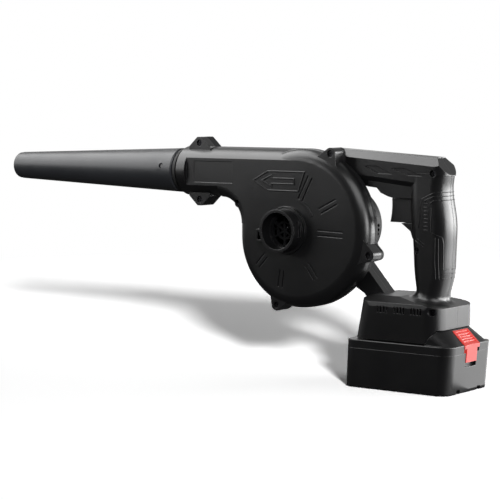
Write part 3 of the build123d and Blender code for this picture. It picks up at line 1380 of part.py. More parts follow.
def latch_points(drop):
    """The latch's side view: a sloped plate and a tab down the rear face, its inside lowered by drop."""
    run = LATCH_SEAT_X - 1 - SLOPE_TOP_X
    rise = SLOPE_TOP_Z - BAT_H
    length = hypot(run, rise)
    nx, nz = rise / length, run / length
    tx, tz = run / length, -rise / length
    proud = LATCH_PROUD
    t = LATCH_T
    top = (SLOPE_TOP_X + tx * 1.4 + nx * proud, SLOPE_TOP_Z + tz * 1.4 + nz * proud)
    knee = (LATCH_SEAT_X + proud, BAT_H - 0.5)
    foot_x = BAT_LENGTH / 2 + BAT_REAR_FLARE * LATCH_LOW_Z / BAT_H + proud
    toe = (foot_x, LATCH_LOW_Z - drop)
    heel = (foot_x - t, LATCH_LOW_Z - drop)
    inner_knee = (LATCH_SEAT_X + proud - t - 0.8, BAT_H - 2.4 - drop)
    inner_top = (top[0] - nx * t, top[1] - nz * t - drop)
    return top, knee, toe, heel, inner_knee, inner_top


def latch_body(half_top, half_tab, drop, grow):
    """The latch, or its pocket when grow and drop are set."""
    points = latch_points(drop)
    if drop:
        points += latch_points(0)[-1:]
    face = outline(points)
    if grow:
        face = offset(face, grow, kind=Kind.INTERSECTION)
    split_z = BAT_H - LATCH_T - drop
    upper = slab(face, -half_top, half_top) & box(0, BAT_LENGTH, -half_top, half_top, split_z, 2 * BAT_H)
    lower = slab(face, -half_tab, half_tab) & box(0, BAT_LENGTH, -half_tab, half_tab, 0, split_z + 1)
    return upper + lower


def latch_pocket():
    grow = SLIDE_GAP
    pocket = latch_body(LATCH_HALF + grow, LATCH_TAB_HALF + grow, LATCH_TRAVEL, grow)
    raised = latch_body(LATCH_HALF + grow, LATCH_TAB_HALF + grow, 0, grow)
    well = cyl_z(LATCH_SPRING_X, 0, BAT_SEAM_Z + 1, BAT_H + 5, LATCH_WELL_R)
    return pocket + raised + well


def battery_latch():
    """Red push latch with a hollowed slope and finger ribs across the hollow."""
    body = latch_body(LATCH_HALF, LATCH_TAB_HALF, 0, 0)
    top, knee = latch_points(0)[:2]
    under = outline((top, knee, (knee[0], 0), (top[0], 0)))
    pad = cyl_z(LATCH_SPRING_X, 0, latch_pad_z(), SLOPE_TOP_Z, LATCH_WELL_R - SLIDE_GAP)
    body += pad & slab(under, -LATCH_HALF, LATCH_HALF)
    run = knee[0] - top[0]
    fall = top[1] - knee[1]
    length = hypot(run, fall)

    def on_slope(share, rise):
        return top[0] + run * share + fall / length * rise, top[1] - fall * share + run / length * rise

    low = -LATCH_HOLLOW
    first, last = LATCH_HOLLOW_SPAN
    hollow = outline((on_slope(first, low), on_slope(last, low), on_slope(last, 1), on_slope(first, 1)))
    half_wide = LATCH_HALF - LATCH_BORDER
    body -= slab(hollow, -half_wide, half_wide)
    for number in range(LATCH_RIBS):
        x, z = on_slope(first + (last - first) * (number + 1) / (LATCH_RIBS + 1), low)
        body += Pos(x, 0, z) * Rot(90, 0, 0) * Cylinder(LATCH_RIB_T / 2, 2 * half_wide)
    return body - cyl_z(LATCH_SPRING_X, 0, 0, latch_pad_z(), LATCH_WELL_R)


def latch_pad_z():
    """Level of the spring's pad, one skin under the hollow where the slope is lowest over the spring."""
    top, knee = latch_points(0)[:2]
    fall = (top[1] - knee[1]) / (knee[0] - top[0])
    edge_z = top[1] - fall * (LATCH_SPRING_X + LATCH_WELL_R - top[0])
    return edge_z - (LATCH_HOLLOW + LATCH_SKIN) * hypot(1, fall)


def latch_spring():
    """Coil spring in its well that lifts the latch by its pad."""
    start = BAT_SEAM_Z + 1
    return coil((LATCH_SPRING_X, 0, start), (0, 0, 1), latch_pad_z() - start, LATCH_SPRING_R, SPRING_PITCH)


def battery_screw_places():
    return [(sx * BAT_SCREW_X, sy * BAT_SCREW_Y) for sx in (1, -1) for sy in (1, -1)]


def battery_lower_case():
    """Tub that holds the cells, with screw bosses in its corners and two notches at the rear."""
    body = battery_case(0, 0)
    body = fillet(body.faces().sort_by(Axis.Z)[0].edges(), BAT_EDGE_R)
    body -= battery_hollow()
    body = body & box(-BAT_LENGTH, BAT_LENGTH, -BAT_HALF, BAT_HALF, 0, BAT_SEAM_Z)
    for x, y in battery_screw_places():
        body += cyl_z(x, y, BAT_EDGE_R, BAT_SEAM_Z, SCREW_BOSS_R) & battery_case(BAT_WALL / 2, BAT_WALL / 2)
    for x, y in battery_screw_places():
        body -= cyl_z(x, y, -1, SCREW_SINK, SCREW_HEAD_R + SLIDE_GAP)
        body -= cyl_z(x, y, 0, BAT_SEAM_Z + 1, SCREW_R + LOOSE_FIT)
    for way in (1, -1):
        y = way * NOTCH_Y
        rear = BAT_LENGTH / 2
        body -= box(rear - NOTCH_H, rear + NOTCH_H, y - NOTCH_W / 2, y + NOTCH_W / 2, 0, NOTCH_H)
    return body - latch_pocket()


def battery_upper_case():
    """Lid with the T-shaped rails, the contact slots and the sloped shoulder."""
    lid = battery_case(0, 0) & box(-BAT_LENGTH, BAT_LENGTH, -BAT_HALF, BAT_HALF, BAT_SEAM_Z, BAT_H)
    top_edges = lid.faces().sort_by(Axis.Z)[-1].edges()
    lid = fillet(top_edges, BAT_EDGE_R / 2)
    x1 = FOOT_NOTCH_X + FOOT_NOTCH_RUN
    stem = box(RAIL_FRONT_X, x1, -RAIL_NECK_HALF, RAIL_NECK_HALF, BAT_H - BAT_WALL, RAIL_HEAD_Z)
    head = box(RAIL_FRONT_X, x1, -RAIL_HEAD_HALF, RAIL_HEAD_HALF, RAIL_HEAD_Z, RAIL_TOP_Z)
    body = lid + stem + head + battery_shoulder()
    half = RAIL_NECK_HALF - BAT_WALL
    hollow = box(RAIL_FRONT_X + BAT_WALL, FOOT_NOTCH_X, -half, half, BAT_SEAM_Z, RAIL_TOP_Z - BAT_WALL)
    body -= battery_hollow()
    body -= hollow
    for y in contact_places():
        w = CONTACT_SLOT_W / 2
        body -= box(RAIL_FRONT_X - 1, CONTACT_X1 + 2, y - w, y + w, BLADE_LOW_Z - 1, RAIL_TOP_Z + 1)
    for x, y in battery_screw_places():
        boss = cyl_z(x, y, BAT_SEAM_Z, BAT_H - BAT_WALL / 2, SCREW_BOSS_R)
        body += boss & battery_case(BAT_WALL / 2, BAT_WALL / 2)
    for x, y in battery_screw_places():
        body -= cyl_z(x, y, BAT_SEAM_Z - 1, BAT_H - BAT_WALL, SCREW_R + RUN_FIT)
    return body - latch_pocket()


def battery_screws():
    group = []
    for x, y in battery_screw_places():
        upright = screw(0, 0, SCREW_SINK, BAT_H - BAT_WALL - 1)
        group.append(Pos(x, y, 0) * Rot(90, 0, 0) * upright)
    return group


def cell_places():
    start = -(CELLS_PER_ROW - 1) / 2 * CELL_PITCH_X
    return [(start + n * CELL_PITCH_X, z) for z in CELL_ROWS_Z for n in range(CELLS_PER_ROW)]


def battery_cells():
    """Round cells that lie across the battery."""
    group = []
    for x, z in cell_places():
        can = cyl_y(x, z, -CELL_LENGTH / 2, CELL_LENGTH / 2 - 1, CELL_R)
        group.append(can + cyl_y(x, z, CELL_LENGTH / 2 - 1, CELL_LENGTH / 2, CELL_R / 3))
    return group


def cell_holders():
    """Two plates with a hole for each cell."""
    group = []
    x = (CELLS_PER_ROW * CELL_PITCH_X) / 2
    for way in (1, -1):
        y = way * HOLDER_Y
        plate = box(-x, x, y - HOLDER_T / 2, y + HOLDER_T / 2, BAT_WALL, HOLDER_TOP_Z)
        for cx, cz in cell_places():
            plate -= cyl_y(cx, cz, y - HOLDER_T, y + HOLDER_T, CELL_R + RUN_FIT)
        group.append(plate)
    return group


def cell_straps():
    """Thin welded straps that join the cells' ends in series."""
    group = []
    for way in (1, -1):
        y0 = CELL_LENGTH / 2
        y = (y0, y0 + STRAP_T) if way > 0 else (-y0 - STRAP_T, -y0)
        for x, z in cell_places()[:CELLS_PER_ROW]:
            group.append(box(x - STRAP_W / 2, x + STRAP_W / 2, y[0], y[1],
                             CELL_ROWS_Z[0] - 4, CELL_ROWS_Z[1] + 4))
    return group


def battery_board():
    """Circuit board that lies on the cell holders."""
    x = (CELLS_PER_ROW * CELL_PITCH_X) / 2
    return box(-x, x - 8, -RAIL_NECK_HALF, RAIL_NECK_HALF, HOLDER_TOP_Z, HOLDER_TOP_Z + BOARD_T)


def battery_contacts():
    """Spring clips on the board that take the tool's blades between two leaves."""
    z0 = HOLDER_TOP_Z + BOARD_T
    gap = BLADE_PLATE_T / 2 + SLIDE_GAP
    group = []
    for y in contact_places():
        clip = box(CONTACT_X0, CONTACT_X1, y - gap - CLIP_T, y + gap + CLIP_T, z0, z0 + CLIP_T)
        for way in (1, -1):
            leaf = sorted((y + way * gap, y + way * (gap + CLIP_T)))
            clip += box(CONTACT_X0, CONTACT_X1, leaf[0], leaf[1], z0, RAIL_TOP_Z - 1)
        group.append(clip)
    return group


def build():
    outer = handle_outer()
    shell = handle_shell(outer)
    return {
        "inlet_cover": inlet_cover(),
        "motor_housing": motor_housing(),
        "motor_cover": motor_cover(),
        "nozzle": nozzle(),
        "outlet_ring": outlet_ring(),
        "inlet_guard": inlet_guard(),
        "impeller": impeller(),
        "impeller_nut": impeller_nut(),
        "motor_shaft": motor_shaft(),
        "motor_can": motor_can(),
        "magnets": magnets(),
        "armature_core": armature_core(),
        "windings": windings(),
        "commutator": commutator(),
        "front_bearing": bearing(BACK_Y + CAN_WALL),
        "rear_bearing": bearing(bell_bearing_y()),
        "motor_end_bell": motor_end_bell(),
        "brush_holders": brush_holders(),
        "carbon_brushes": carbon_brushes(),
        "motor_screws": motor_screws(),
        "cover_screws": cover_screws(),
        "housing_screws": housing_screws(),
        "handle_left": handle_half(shell, outer, -1),
        "handle_right": handle_half(shell, outer, 1),
        "handle_screws": handle_screws(),
        "trigger": trigger(),
        "trigger_switch": trigger_switch(),
        "trigger_spring": trigger_spring(),
        "motor_leads": motor_leads(),
        "battery_leads": battery_leads(),
        "terminal_block": terminal_block(),
        "terminal_blades": terminal_blades(),
        "battery_lower_case": battery_lower_case(),
        "battery_upper_case": battery_upper_case(),
        "battery_latch": battery_latch(),
        "latch_spring": latch_spring(),
        "battery_screws": battery_screws(),
        "battery_cells": battery_cells(),
        "cell_holders": cell_holders(),
        "cell_straps": cell_straps(),
        "battery_board": battery_board(),
        "battery_contacts": battery_contacts(),
    }


def write(parts):
    os.makedirs("parts", exist_ok=True)
    for name, shape in parts.items():
        solids = shape if isinstance(shape, list) else [shape]
        solids = [solid for piece in solids for solid in piece.solids()]
        export_step(solids[0] if len(solids) == 1 else Compound(children=solids), f"parts/{name}.step")


if __name__ == "__main__":
    write(build())
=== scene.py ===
"""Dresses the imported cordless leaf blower: plastics, metals, grip relief, floor, light and camera."""

from math import cos, pi, radians, sin

import bpy
import numpy as np
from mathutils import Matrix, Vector


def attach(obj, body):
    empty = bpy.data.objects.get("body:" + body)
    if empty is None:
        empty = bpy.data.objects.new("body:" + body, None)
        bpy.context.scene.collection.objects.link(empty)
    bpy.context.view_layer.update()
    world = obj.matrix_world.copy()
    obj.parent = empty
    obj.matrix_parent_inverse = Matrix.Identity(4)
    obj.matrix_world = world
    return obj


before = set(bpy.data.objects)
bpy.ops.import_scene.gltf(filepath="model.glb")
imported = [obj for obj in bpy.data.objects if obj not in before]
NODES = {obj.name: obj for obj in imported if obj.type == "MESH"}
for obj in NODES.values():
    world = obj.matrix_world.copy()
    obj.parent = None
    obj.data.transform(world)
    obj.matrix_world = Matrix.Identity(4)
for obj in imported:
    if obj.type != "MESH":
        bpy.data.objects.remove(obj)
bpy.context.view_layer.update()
MM = 0.001

# Grip relief in millimetres: lines are points (x, z) on the grip's side, bands go round its rear

RIDGE_BASE = 1.1
RIDGE_TOP = 0.5
RIDGE_SINK = 0.5
RIDGE_RISE = 0.45
RIDGE_STEP = 1.0
CAST_START = 60.0
CAST_NUDGE = 0.3
GRIP_LINES = (
    ((11.7, 153.9), (12.8, 162.3), (15.1, 181.3), (27.2, 186.9), (33.6, 187.6)),
    ((18.2, 176.2), (19.3, 180.4), (28.4, 183.8), (33.6, 184.1)),
    ((23.6, 176.4), (27.2, 179.6), (33.6, 180.3)),
    ((25.5, 173.2), (24.7, 150.2), (36.0, 145.6), (36.8, 140.0), (36.3, 115.0)),
    ((30.0, 145.2), (29.6, 123.2), (30.4, 105.5)),
    ((33.0, 144.3), (32.7, 123.4), (33.2, 105.6)),
    ((7.5, 141.6), (17.3, 135.8)),
    ((10.5, 143.3), (17.9, 138.4)),
)
RUNG_ENDS = (17.6, 22.0)
RUNG_SPAN = (152.0, 177.0)
RUNG_COUNT = 8
BAND_HEIGHTS = (187.6, 184.1, 180.3, 115.0, 110.6, 106.6)
BAND_REACH = (0.15, 12.2)

# Grain, lines and turns of the finishes, in counts per metre, shares and metres

GRAIN_FINENESS = 1600.0
GRAIN_RELIEF = 0.16
GRAIN_HEIGHT = 0.00012
PIT_SHARE = 0.7
DRIFT_FINENESS = 22.0
DRIFT_GAIN = 1.6
DRIFT_SHIFT = -0.3
SEAM_WIDTH = 0.0007
SEAM_DEPTH = 6.0
PLASTIC_SPECULAR = 0.5
PLASTIC_TONE = 0.16
PLASTIC_SWAY = 0.05
LEAST_ROUGHNESS = 0.02
EDGE_SAMPLES = 6
LINE_FINENESS = 900.0
LINE_STRETCH = 0.04
LINE_RELIEF = 0.2
LINE_HEIGHT = 0.00005
CLOUD_FINENESS = 60.0
STREAK_GAIN = 2.2
METAL_TONE = 0.12
METAL_SWAY = 0.08
METAL_EDGE = 0.0002
COIL_FINENESS = 420.0
COIL_RELIEF = 0.6
COIL_HEIGHT = 0.0003
COIL_TONE = 0.3
COIL_ROUGHNESS = 0.32
COIL_SWAY = 0.06
VARNISH_ROUGHNESS = 0.15
COPPER_COLOUR = (0.62, 0.22, 0.08)
RUBBER_COLOUR = (0.006, 0.006, 0.006)
SWITCH_COLOUR = (0.02, 0.02, 0.022)

# Plastics of the inside: name, colour, roughness, fineness, relief, specular and nodes

BATTERY_INSIDES = (
    ("cell_sleeve", (0.05, 0.16, 0.32), 0.3, 500.0, 0.05, 0.5, ("battery_cells",)),
    ("holder_natural", (0.62, 0.62, 0.58), 0.5, 1600.0, 0.16, 0.5, ("cell_holders",)),
    ("board_green", (0.01, 0.11, 0.04), 0.35, 900.0, 0.1, 0.5, ("battery_board",)),
)
MOTOR_INSIDES = (
    ("sintered_ferrite", (0.035, 0.035, 0.038), 0.6, 700.0, 0.3, 0.5, ("magnets",)),
    ("pressed_carbon", (0.02, 0.02, 0.02), 0.55, 900.0, 0.3, 0.5, ("carbon_brushes",)),
    ("end_bell_black", (0.03, 0.03, 0.032), 0.45, 1600.0, 0.16, 0.5, ("motor_end_bell",)),
    # The fan wheel is darker and less glossy than the other black insides: its own black plastic, darkened
    # further as painted shade inside the bore
    ("fan_wheel_black", (0.006, 0.006, 0.0065), 0.5, 1600.0, 0.16, 0.3, ("impeller",)),
    ("lead_sleeve_red", (0.42, 0.02, 0.02), 0.45, 600.0, 0.08, 0.5, ("motor_leads", "battery_leads")),
)

# Bare metals: name, colour, roughness, fineness and nodes

BARE_METALS = (
    ("plain_steel", (0.56, 0.57, 0.58), 0.3, 900.0,
     ("impeller_nut", "motor_shaft", "armature_core", "front_bearing", "rear_bearing", "motor_screws",
      "trigger_spring", "latch_spring")),
    ("zinc_can", (0.60, 0.60, 0.57), 0.38, 500.0, ("motor_can",)),
    ("black_screw", (0.035, 0.035, 0.038), 0.42, 900.0,
     ("cover_screws", "housing_screws", "handle_screws", "battery_screws")),
    ("brass_strip", (0.72, 0.50, 0.20), 0.3, 900.0,
     ("brush_holders", "terminal_blades", "battery_contacts")),
    ("nickel_strap", (0.62, 0.59, 0.53), 0.28, 900.0, ("cell_straps",)),
    ("turned_copper", (0.66, 0.30, 0.14), 0.3, 900.0, ("commutator",)),
)

# Studio values in metres and radians

FLOOR_HUB = 0.02
FLOOR_FADE = (0.85, 1.5)
FLOOR_RINGS = 12
FLOOR_TURNS = 96
FLOOR_DROP = 0.0004
FLOOR_PAINT = (0.08, 0.08, 0.08, 1.0)
SKY_FACING = (-0.2, 0.8)
SKY_GLOW = (0.015, 0.5)
SKY_FILL = 0.06
SENSOR_WIDTH = 36.0
SUN_TURN = radians(45.0)
SUN_RISE = radians(16.5)
SUN_SPREAD = radians(6.0)
SUN_STRENGTH = 4.0

# Soft boxes: name, place, point that it faces, width, height, watts and whether for highlights only

SOFT_BOXES = (
    ("side_box", (1.25, 0.75, 0.34), (0.0, 0.0, 0.16), 1.7, 0.66, 13.0, False),
    ("right_box", (1.24, 0.66, 0.30), (0.03, 0.0, 0.15), 2.5, 0.7, 58.0, True),
    ("floor_card", (0.45, 0.50, 0.003), (0.45, 0.50, 1.0), 1.0, 1.0, 8.0, True),
    ("left_box", (-0.67, -0.42, 0.39), (-0.26, -0.03, 0.18), 0.7, 0.3, 2.5, True),
    ("rim_box", (0.75, -0.35, 0.95), (-0.06, -0.03, 0.20), 1.0, 0.7, 9.0, True),
    ("far_box", (-0.95, 0.95, 0.50), (-0.55, 0.45, 0.0), 0.6, 0.6, 0.8, False),
    ("top_box", (-1.06, -0.32, 1.40), (-0.15, 0.0, 0.15), 1.6, 1.2, 36.0, True),
)

bl_info = {
    "name": "Leaf blower dressing",
    "version": (1, 0, 0),
    "blender": (4, 5, 0),
    "location": "View3D > Sidebar > Blower",
    "description": "Finishes, grip relief and studio for a cordless leaf blower",
    "category": "Object",
}


# Sizes and colours that a user would change


class BlowerFinishes(bpy.types.PropertyGroup):
    """Colours, gloss, grain and edges of the blower's finishes."""

    shell_colour: bpy.props.FloatVectorProperty(
        name="Shell colour", description="Charcoal plastic of the fan housing and the handle",
        subtype="COLOR", size=3, min=0, max=1, default=(0.0035, 0.0035, 0.0038))
    battery_colour: bpy.props.FloatVectorProperty(
        name="Battery colour", description="Charcoal plastic of the battery case",
        subtype="COLOR", size=3, min=0, max=1, default=(0.0030, 0.0030, 0.0033))
    nozzle_colour: bpy.props.FloatVectorProperty(
        name="Nozzle colour", description="Blue-black plastic of the nozzle",
        subtype="COLOR", size=3, min=0, max=1, default=(0.015, 0.016, 0.0185))
    latch_colour: bpy.props.FloatVectorProperty(
        name="Latch colour", description="Coral red plastic of the battery latch",
        subtype="COLOR", size=3, min=0, max=1, default=(0.62, 0.045, 0.035))
    shell_roughness: bpy.props.FloatProperty(
        name="Shell roughness", description="How matt the moulded shells are", subtype="FACTOR",
        min=0, max=1, default=0.33)
    nozzle_roughness: bpy.props.FloatProperty(
        name="Nozzle roughness", description="How matt the nozzle is", subtype="FACTOR",
        min=0, max=1, default=0.40)
    grain_size: bpy.props.FloatProperty(
        name="Grain size", description="Width of the moulded grain", subtype="DISTANCE",
        unit="LENGTH", min=0.0001, max=0.01, default=0.0006)
    edge_round: bpy.props.FloatProperty(
        name="Edge rounding", description="Radius that the light sees on moulded edges",
        subtype="DISTANCE", unit="LENGTH", min=0, max=0.003, default=0.0006)


class BlowerStudio(bpy.types.PropertyGroup):
    """Camera and floor."""

    camera_place: bpy.props.FloatVectorProperty(
        name="Camera place", description="Where the camera stands", subtype="XYZ", unit="LENGTH",
        size=3, default=(0.9038, -1.4637, 0.2780))
    camera_turn: bpy.props.FloatProperty(
        name="Camera turn", description="Angle of the view round the blower", subtype="ANGLE",
        default=radians(37.0))
    camera_drop: bpy.props.FloatProperty(
        name="Camera drop", description="How far the view looks down", subtype="ANGLE",
        default=radians(4.9))
    lens: bpy.props.FloatProperty(
        name="Lens", description="Focal length on a 36 mm wide sensor, in millimetres",
        min=10, max=400, default=129.6)
    floor_gain: bpy.props.FloatProperty(
        name="Floor brightness", description="How bright the lit floor looks to the camera",
        min=0, max=10, default=2.1)


# Node helpers


def add_node(tree, kind, **values):
    """A node of that kind, with its fields and its sockets set by name."""
    made = tree.nodes.new(kind)
    for key, value in values.items():
        if hasattr(made, key):
            setattr(made, key, value)
        else:
            made.inputs[key.replace("_", " ")].default_value = value
    return made


def arithmetic(tree, operation, *operands, clamp=False):
    """A Math node's output; each operand is a number or a socket."""
    made = add_node(tree, "ShaderNodeMath", operation=operation, use_clamp=clamp)
    for slot, operand in zip(made.inputs, operands):
        if hasattr(operand, "links"):
            tree.links.new(operand, slot)
        else:
            slot.default_value = operand
    return made.outputs[0]


def blend_colours(tree, factor, dark, light):
    """A Mix node's colour output, from dark to light by a factor; inputs 6 and 7 are its two colours."""
    made = add_node(tree, "ShaderNodeMix", data_type="RGBA")
    tree.links.new(factor, made.inputs[0])
    made.inputs[6].default_value = (*dark, 1.0)
    made.inputs[7].default_value = (*light, 1.0)
    return made.outputs[2]


def new_group(name, inputs, outputs):
    """An empty shader node group with named float sockets, its input node and its output node."""
    group = bpy.data.node_groups.new(name, "ShaderNodeTree")
    for label, value in inputs:
        made = group.interface.new_socket(name=label, in_out="INPUT", socket_type="NodeSocketFloat")
        made.default_value = value
    for label in outputs:
        group.interface.new_socket(name=label, in_out="OUTPUT", socket_type="NodeSocketFloat")
    return group, group.nodes.new("NodeGroupInput"), group.nodes.new("NodeGroupOutput")


def moulded_grain_group():
    """Grain of a spark-eroded mould: fine pebbles as Height, slow drifts of gloss and tone as Drift."""
    name = "moulded_grain"
    if name in bpy.data.node_groups:
        return bpy.data.node_groups[name]
    inputs = (("Fineness", GRAIN_FINENESS), ("Drift Scale", DRIFT_FINENESS))
    group, given, result = new_group(name, inputs, ("Height", "Drift"))
    place = add_node(group, "ShaderNodeTexCoord").outputs["Object"]
    pebble = add_node(group, "ShaderNodeTexVoronoi", feature="SMOOTH_F1", Smoothness=0.6)
    noise = add_node(group, "ShaderNodeTexNoise", Detail=3.0, Roughness=0.62)
    drift = add_node(group, "ShaderNodeTexNoise", Detail=4.0, Roughness=0.55)
    for made, label in ((pebble, "Fineness"), (noise, "Fineness"), (drift, "Drift Scale")):
        group.links.new(place, made.inputs["Vector"])
        group.links.new(given.outputs[label], made.inputs["Scale"])
    pits = arithmetic(group, "MULTIPLY", pebble.outputs["Distance"], PIT_SHARE)
    mixed = arithmetic(group, "SUBTRACT", noise.outputs[0], pits)
    group.links.new(mixed, result.inputs["Height"])
    spread = arithmetic(group, "MULTIPLY_ADD", drift.outputs[0], DRIFT_GAIN, DRIFT_SHIFT, clamp=True)
    group.links.new(spread, result.inputs["Drift"])
    return group


def brushed_group():
    """Fine lines along one axis, as drawing or rolling leaves them on metal, as Height and Streak."""
    name = "drawn_lines"
    if name in bpy.data.node_groups:
        return bpy.data.node_groups[name]
    inputs = (("Fineness", LINE_FINENESS), ("Stretch", LINE_STRETCH))
    group, given, result = new_group(name, inputs, ("Height", "Streak"))
    place = add_node(group, "ShaderNodeTexCoord").outputs["Object"]
    stretch = add_node(group, "ShaderNodeCombineXYZ", X=1.0, Z=1.0)
    group.links.new(given.outputs["Stretch"], stretch.inputs["Y"])
    scaled = add_node(group, "ShaderNodeVectorMath", operation="MULTIPLY")
    group.links.new(place, scaled.inputs[0])
    group.links.new(stretch.outputs[0], scaled.inputs[1])
    lines = add_node(group, "ShaderNodeTexNoise", Detail=2.0, Roughness=0.6)
    group.links.new(scaled.outputs[0], lines.inputs["Vector"])
    group.links.new(given.outputs["Fineness"], lines.inputs["Scale"])
    group.links.new(lines.outputs[0], result.inputs["Height"])
    cloud = add_node(group, "ShaderNodeTexNoise", Scale=CLOUD_FINENESS, Detail=3.0)
    group.links.new(place, cloud.inputs["Vector"])
    both = arithmetic(group, "MULTIPLY", lines.outputs[0], cloud.outputs[0])
    streak = arithmetic(group, "MULTIPLY", both, STREAK_GAIN, clamp=True)
    group.links.new(streak, result.inputs["Streak"])
    return group


def parting_line_group():
    """A mask of 1 on the plane where two moulded halves meet, falling to 0 one width away."""
    name = "parting_line"
    if name in bpy.data.node_groups:
        return bpy.data.node_groups[name]
    group, given, result = new_group(name, (("Plane", 0.0), ("Width", SEAM_WIDTH)), ("Line",))
    place = add_node(group, "ShaderNodeTexCoord").outputs["Object"]
    axes = add_node(group, "ShaderNodeSeparateXYZ")
    group.links.new(place, axes.inputs[0])
    away = arithmetic(group, "SUBTRACT", axes.outputs["Y"], given.outputs["Plane"])
    share = arithmetic(group, "DIVIDE", arithmetic(group, "ABSOLUTE", away), given.outputs["Width"])
    group.links.new(arithmetic(group, "SUBTRACT", 1.0, share, clamp=True), result.inputs["Line"])
    return group


def use_group(tree, group, **values):
    """A group placed in a tree, with its inputs set by name."""
    made = tree.nodes.new("ShaderNodeGroup")
    made.node_tree = group
    for key, value in values.items():
        made.inputs[key.replace("_", " ")].default_value = value
    return made


def start_material(name):
    """A named node material and its Principled shader; the shader is None if the material exists."""
    made = bpy.data.materials.get(name)
    if made:
        return made, None
    made = bpy.data.materials.new(name)
    made.use_nodes = True
    return made, made.node_tree.nodes["Principled BSDF"]


def drift_into(tree, shader, drift, colour, tone, roughness, sway):
    """Lets a slow drift move the shader's colour by tone and its roughness by sway, each way."""
    dark = [c * (1 - tone) for c in colour]
    light = [min(1.0, c * (1 + tone)) for c in colour]
    tree.links.new(blend_colours(tree, drift, dark, light), shader.inputs["Base Color"])
    rough = add_node(tree, "ShaderNodeMapRange")
    rough.inputs["To Min"].default_value = max(LEAST_ROUGHNESS, roughness - sway)
    rough.inputs["To Max"].default_value = roughness + sway
    tree.links.new(drift, rough.inputs["Value"])
    tree.links.new(rough.outputs[0], shader.inputs["Roughness"])


def bump_into(tree, shader, height, distance, strength, edge=0.0):
    """A bump from that height, over edges that the light sees rounded to the radius edge."""
    bump = add_node(tree, "ShaderNodeBump", Strength=strength, Distance=distance)
    tree.links.new(height, bump.inputs["Height"])
    if edge > 0:
        rounded = add_node(tree, "ShaderNodeBevel", samples=EDGE_SAMPLES, Radius=edge)
        tree.links.new(rounded.outputs[0], bump.inputs["Normal"])
    tree.links.new(bump.outputs[0], shader.inputs["Normal"])


# Finishes


def moulded_plastic(name, colour, roughness, fineness=GRAIN_FINENESS, relief=GRAIN_RELIEF,
                    specular=PLASTIC_SPECULAR, seam=None, tone=PLASTIC_TONE):
    """Moulded plastic with a fine grain, drifts of gloss, rounded edges and, if asked, a parting line."""
    made, shader = start_material(name)
    if shader is None:
        return made
    tree = made.node_tree
    shader.inputs["Specular IOR Level"].default_value = specular
    grain = use_group(tree, moulded_grain_group(), Fineness=fineness)
    drift_into(tree, shader, grain.outputs["Drift"], colour, tone, roughness, PLASTIC_SWAY)
    height = grain.outputs["Height"]
    if seam is not None:
        line = use_group(tree, parting_line_group(), Plane=seam, Width=SEAM_WIDTH)
        deep = arithmetic(tree, "MULTIPLY", line.outputs["Line"], SEAM_DEPTH)
        height = arithmetic(tree, "SUBTRACT", height, deep)
    bump_into(tree, shader, height, GRAIN_HEIGHT, relief, bpy.context.scene.blower_finishes.edge_round)
    return made


def bare_metal(name, colour, roughness, fineness):
    """Bare metal with fine drawn lines and patches that shine differently."""
    made, shader = start_material(name)
    if shader is None:
        return made
    tree = made.node_tree
    shader.inputs["Metallic"].default_value = 1.0
    lines = use_group(tree, brushed_group(), Fineness=fineness)
    drift_into(tree, shader, lines.outputs["Streak"], colour, METAL_TONE, roughness, METAL_SWAY)
    bump_into(tree, shader, lines.outputs["Height"], LINE_HEIGHT, LINE_RELIEF, METAL_EDGE)
    return made


def wound_copper(name, colour):
    """Enamelled wire: tight turns across the coil, under a clear amber varnish."""
    made, shader = start_material(name)
    if shader is None:
        return made
    tree = made.node_tree
    shader.inputs["Metallic"].default_value = 1.0
    shader.inputs["Coat Roughness"].default_value = VARNISH_ROUGHNESS
    place = add_node(tree, "ShaderNodeTexCoord").outputs["Object"]
    turns = add_node(tree, "ShaderNodeTexWave", wave_type="BANDS", bands_direction="Y",
                     Scale=COIL_FINENESS, Distortion=0.6)
    tree.links.new(place, turns.inputs["Vector"])
    drift_into(tree, shader, turns.outputs["Fac"], colour, COIL_TONE, COIL_ROUGHNESS, COIL_SWAY)
    tree.links.new(turns.outputs["Fac"], shader.inputs["Coat Weight"])
    bump_into(tree, shader, turns.outputs["Fac"], COIL_HEIGHT, COIL_RELIEF)
    return made


def dress(names, material):
    """Gives each CAD node that one material."""
    for name in names:
        mesh = NODES[name].data
        mesh.materials.clear()
        mesh.materials.append(material)


def dress_by_table(table, finish):
    """Dresses the nodes at the end of each row with the finish that the row's other values give."""
    for *values, names in table:
        dress(names, finish(*values))


# Mesh helpers


def tube_faces(rows, columns):
    """Quads of a grid of rows by columns that closes on itself across the columns."""
    index = np.arange(rows * columns).reshape(rows, columns)
    across = np.roll(index, -1, axis=1)
    return np.stack((index[:-1], across[:-1], across[1:], index[1:]), axis=-1).reshape(-1, 4)


def make_piece(name, points, faces, material, body, slot):
    """A mesh piece from arrays of points and quads, that rides on a body."""
    mesh = bpy.data.meshes.new(name)
    mesh.vertices.add(len(points))
    mesh.vertices.foreach_set("co", points.astype(np.float32).ravel())
    mesh.loops.add(faces.size)
    mesh.loops.foreach_set("vertex_index", faces.astype(np.int32).ravel())
    mesh.polygons.add(len(faces))
    mesh.polygons.foreach_set("loop_start", np.arange(0, faces.size, faces.shape[1], dtype=np.int32))
    mesh.update(calc_edges=True)
    mesh.validate()
    mesh.materials.append(material)
    piece = bpy.data.objects.new(name, mesh)
    bpy.context.scene.collection.objects.link(piece)
    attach(piece, body)


def resampled(path, step):
    """Points at an even step along a broken line."""
    path = np.asarray(path, float)
    run = np.concatenate(((0.0,), np.cumsum(np.linalg.norm(np.diff(path, axis=0), axis=1))))
    at = np.linspace(0.0, run[-1], max(2, int(run[-1] / step) + 1))
    return np.stack((np.interp(at, run, path[:, 0]), np.interp(at, run, path[:, 1])), axis=-1)


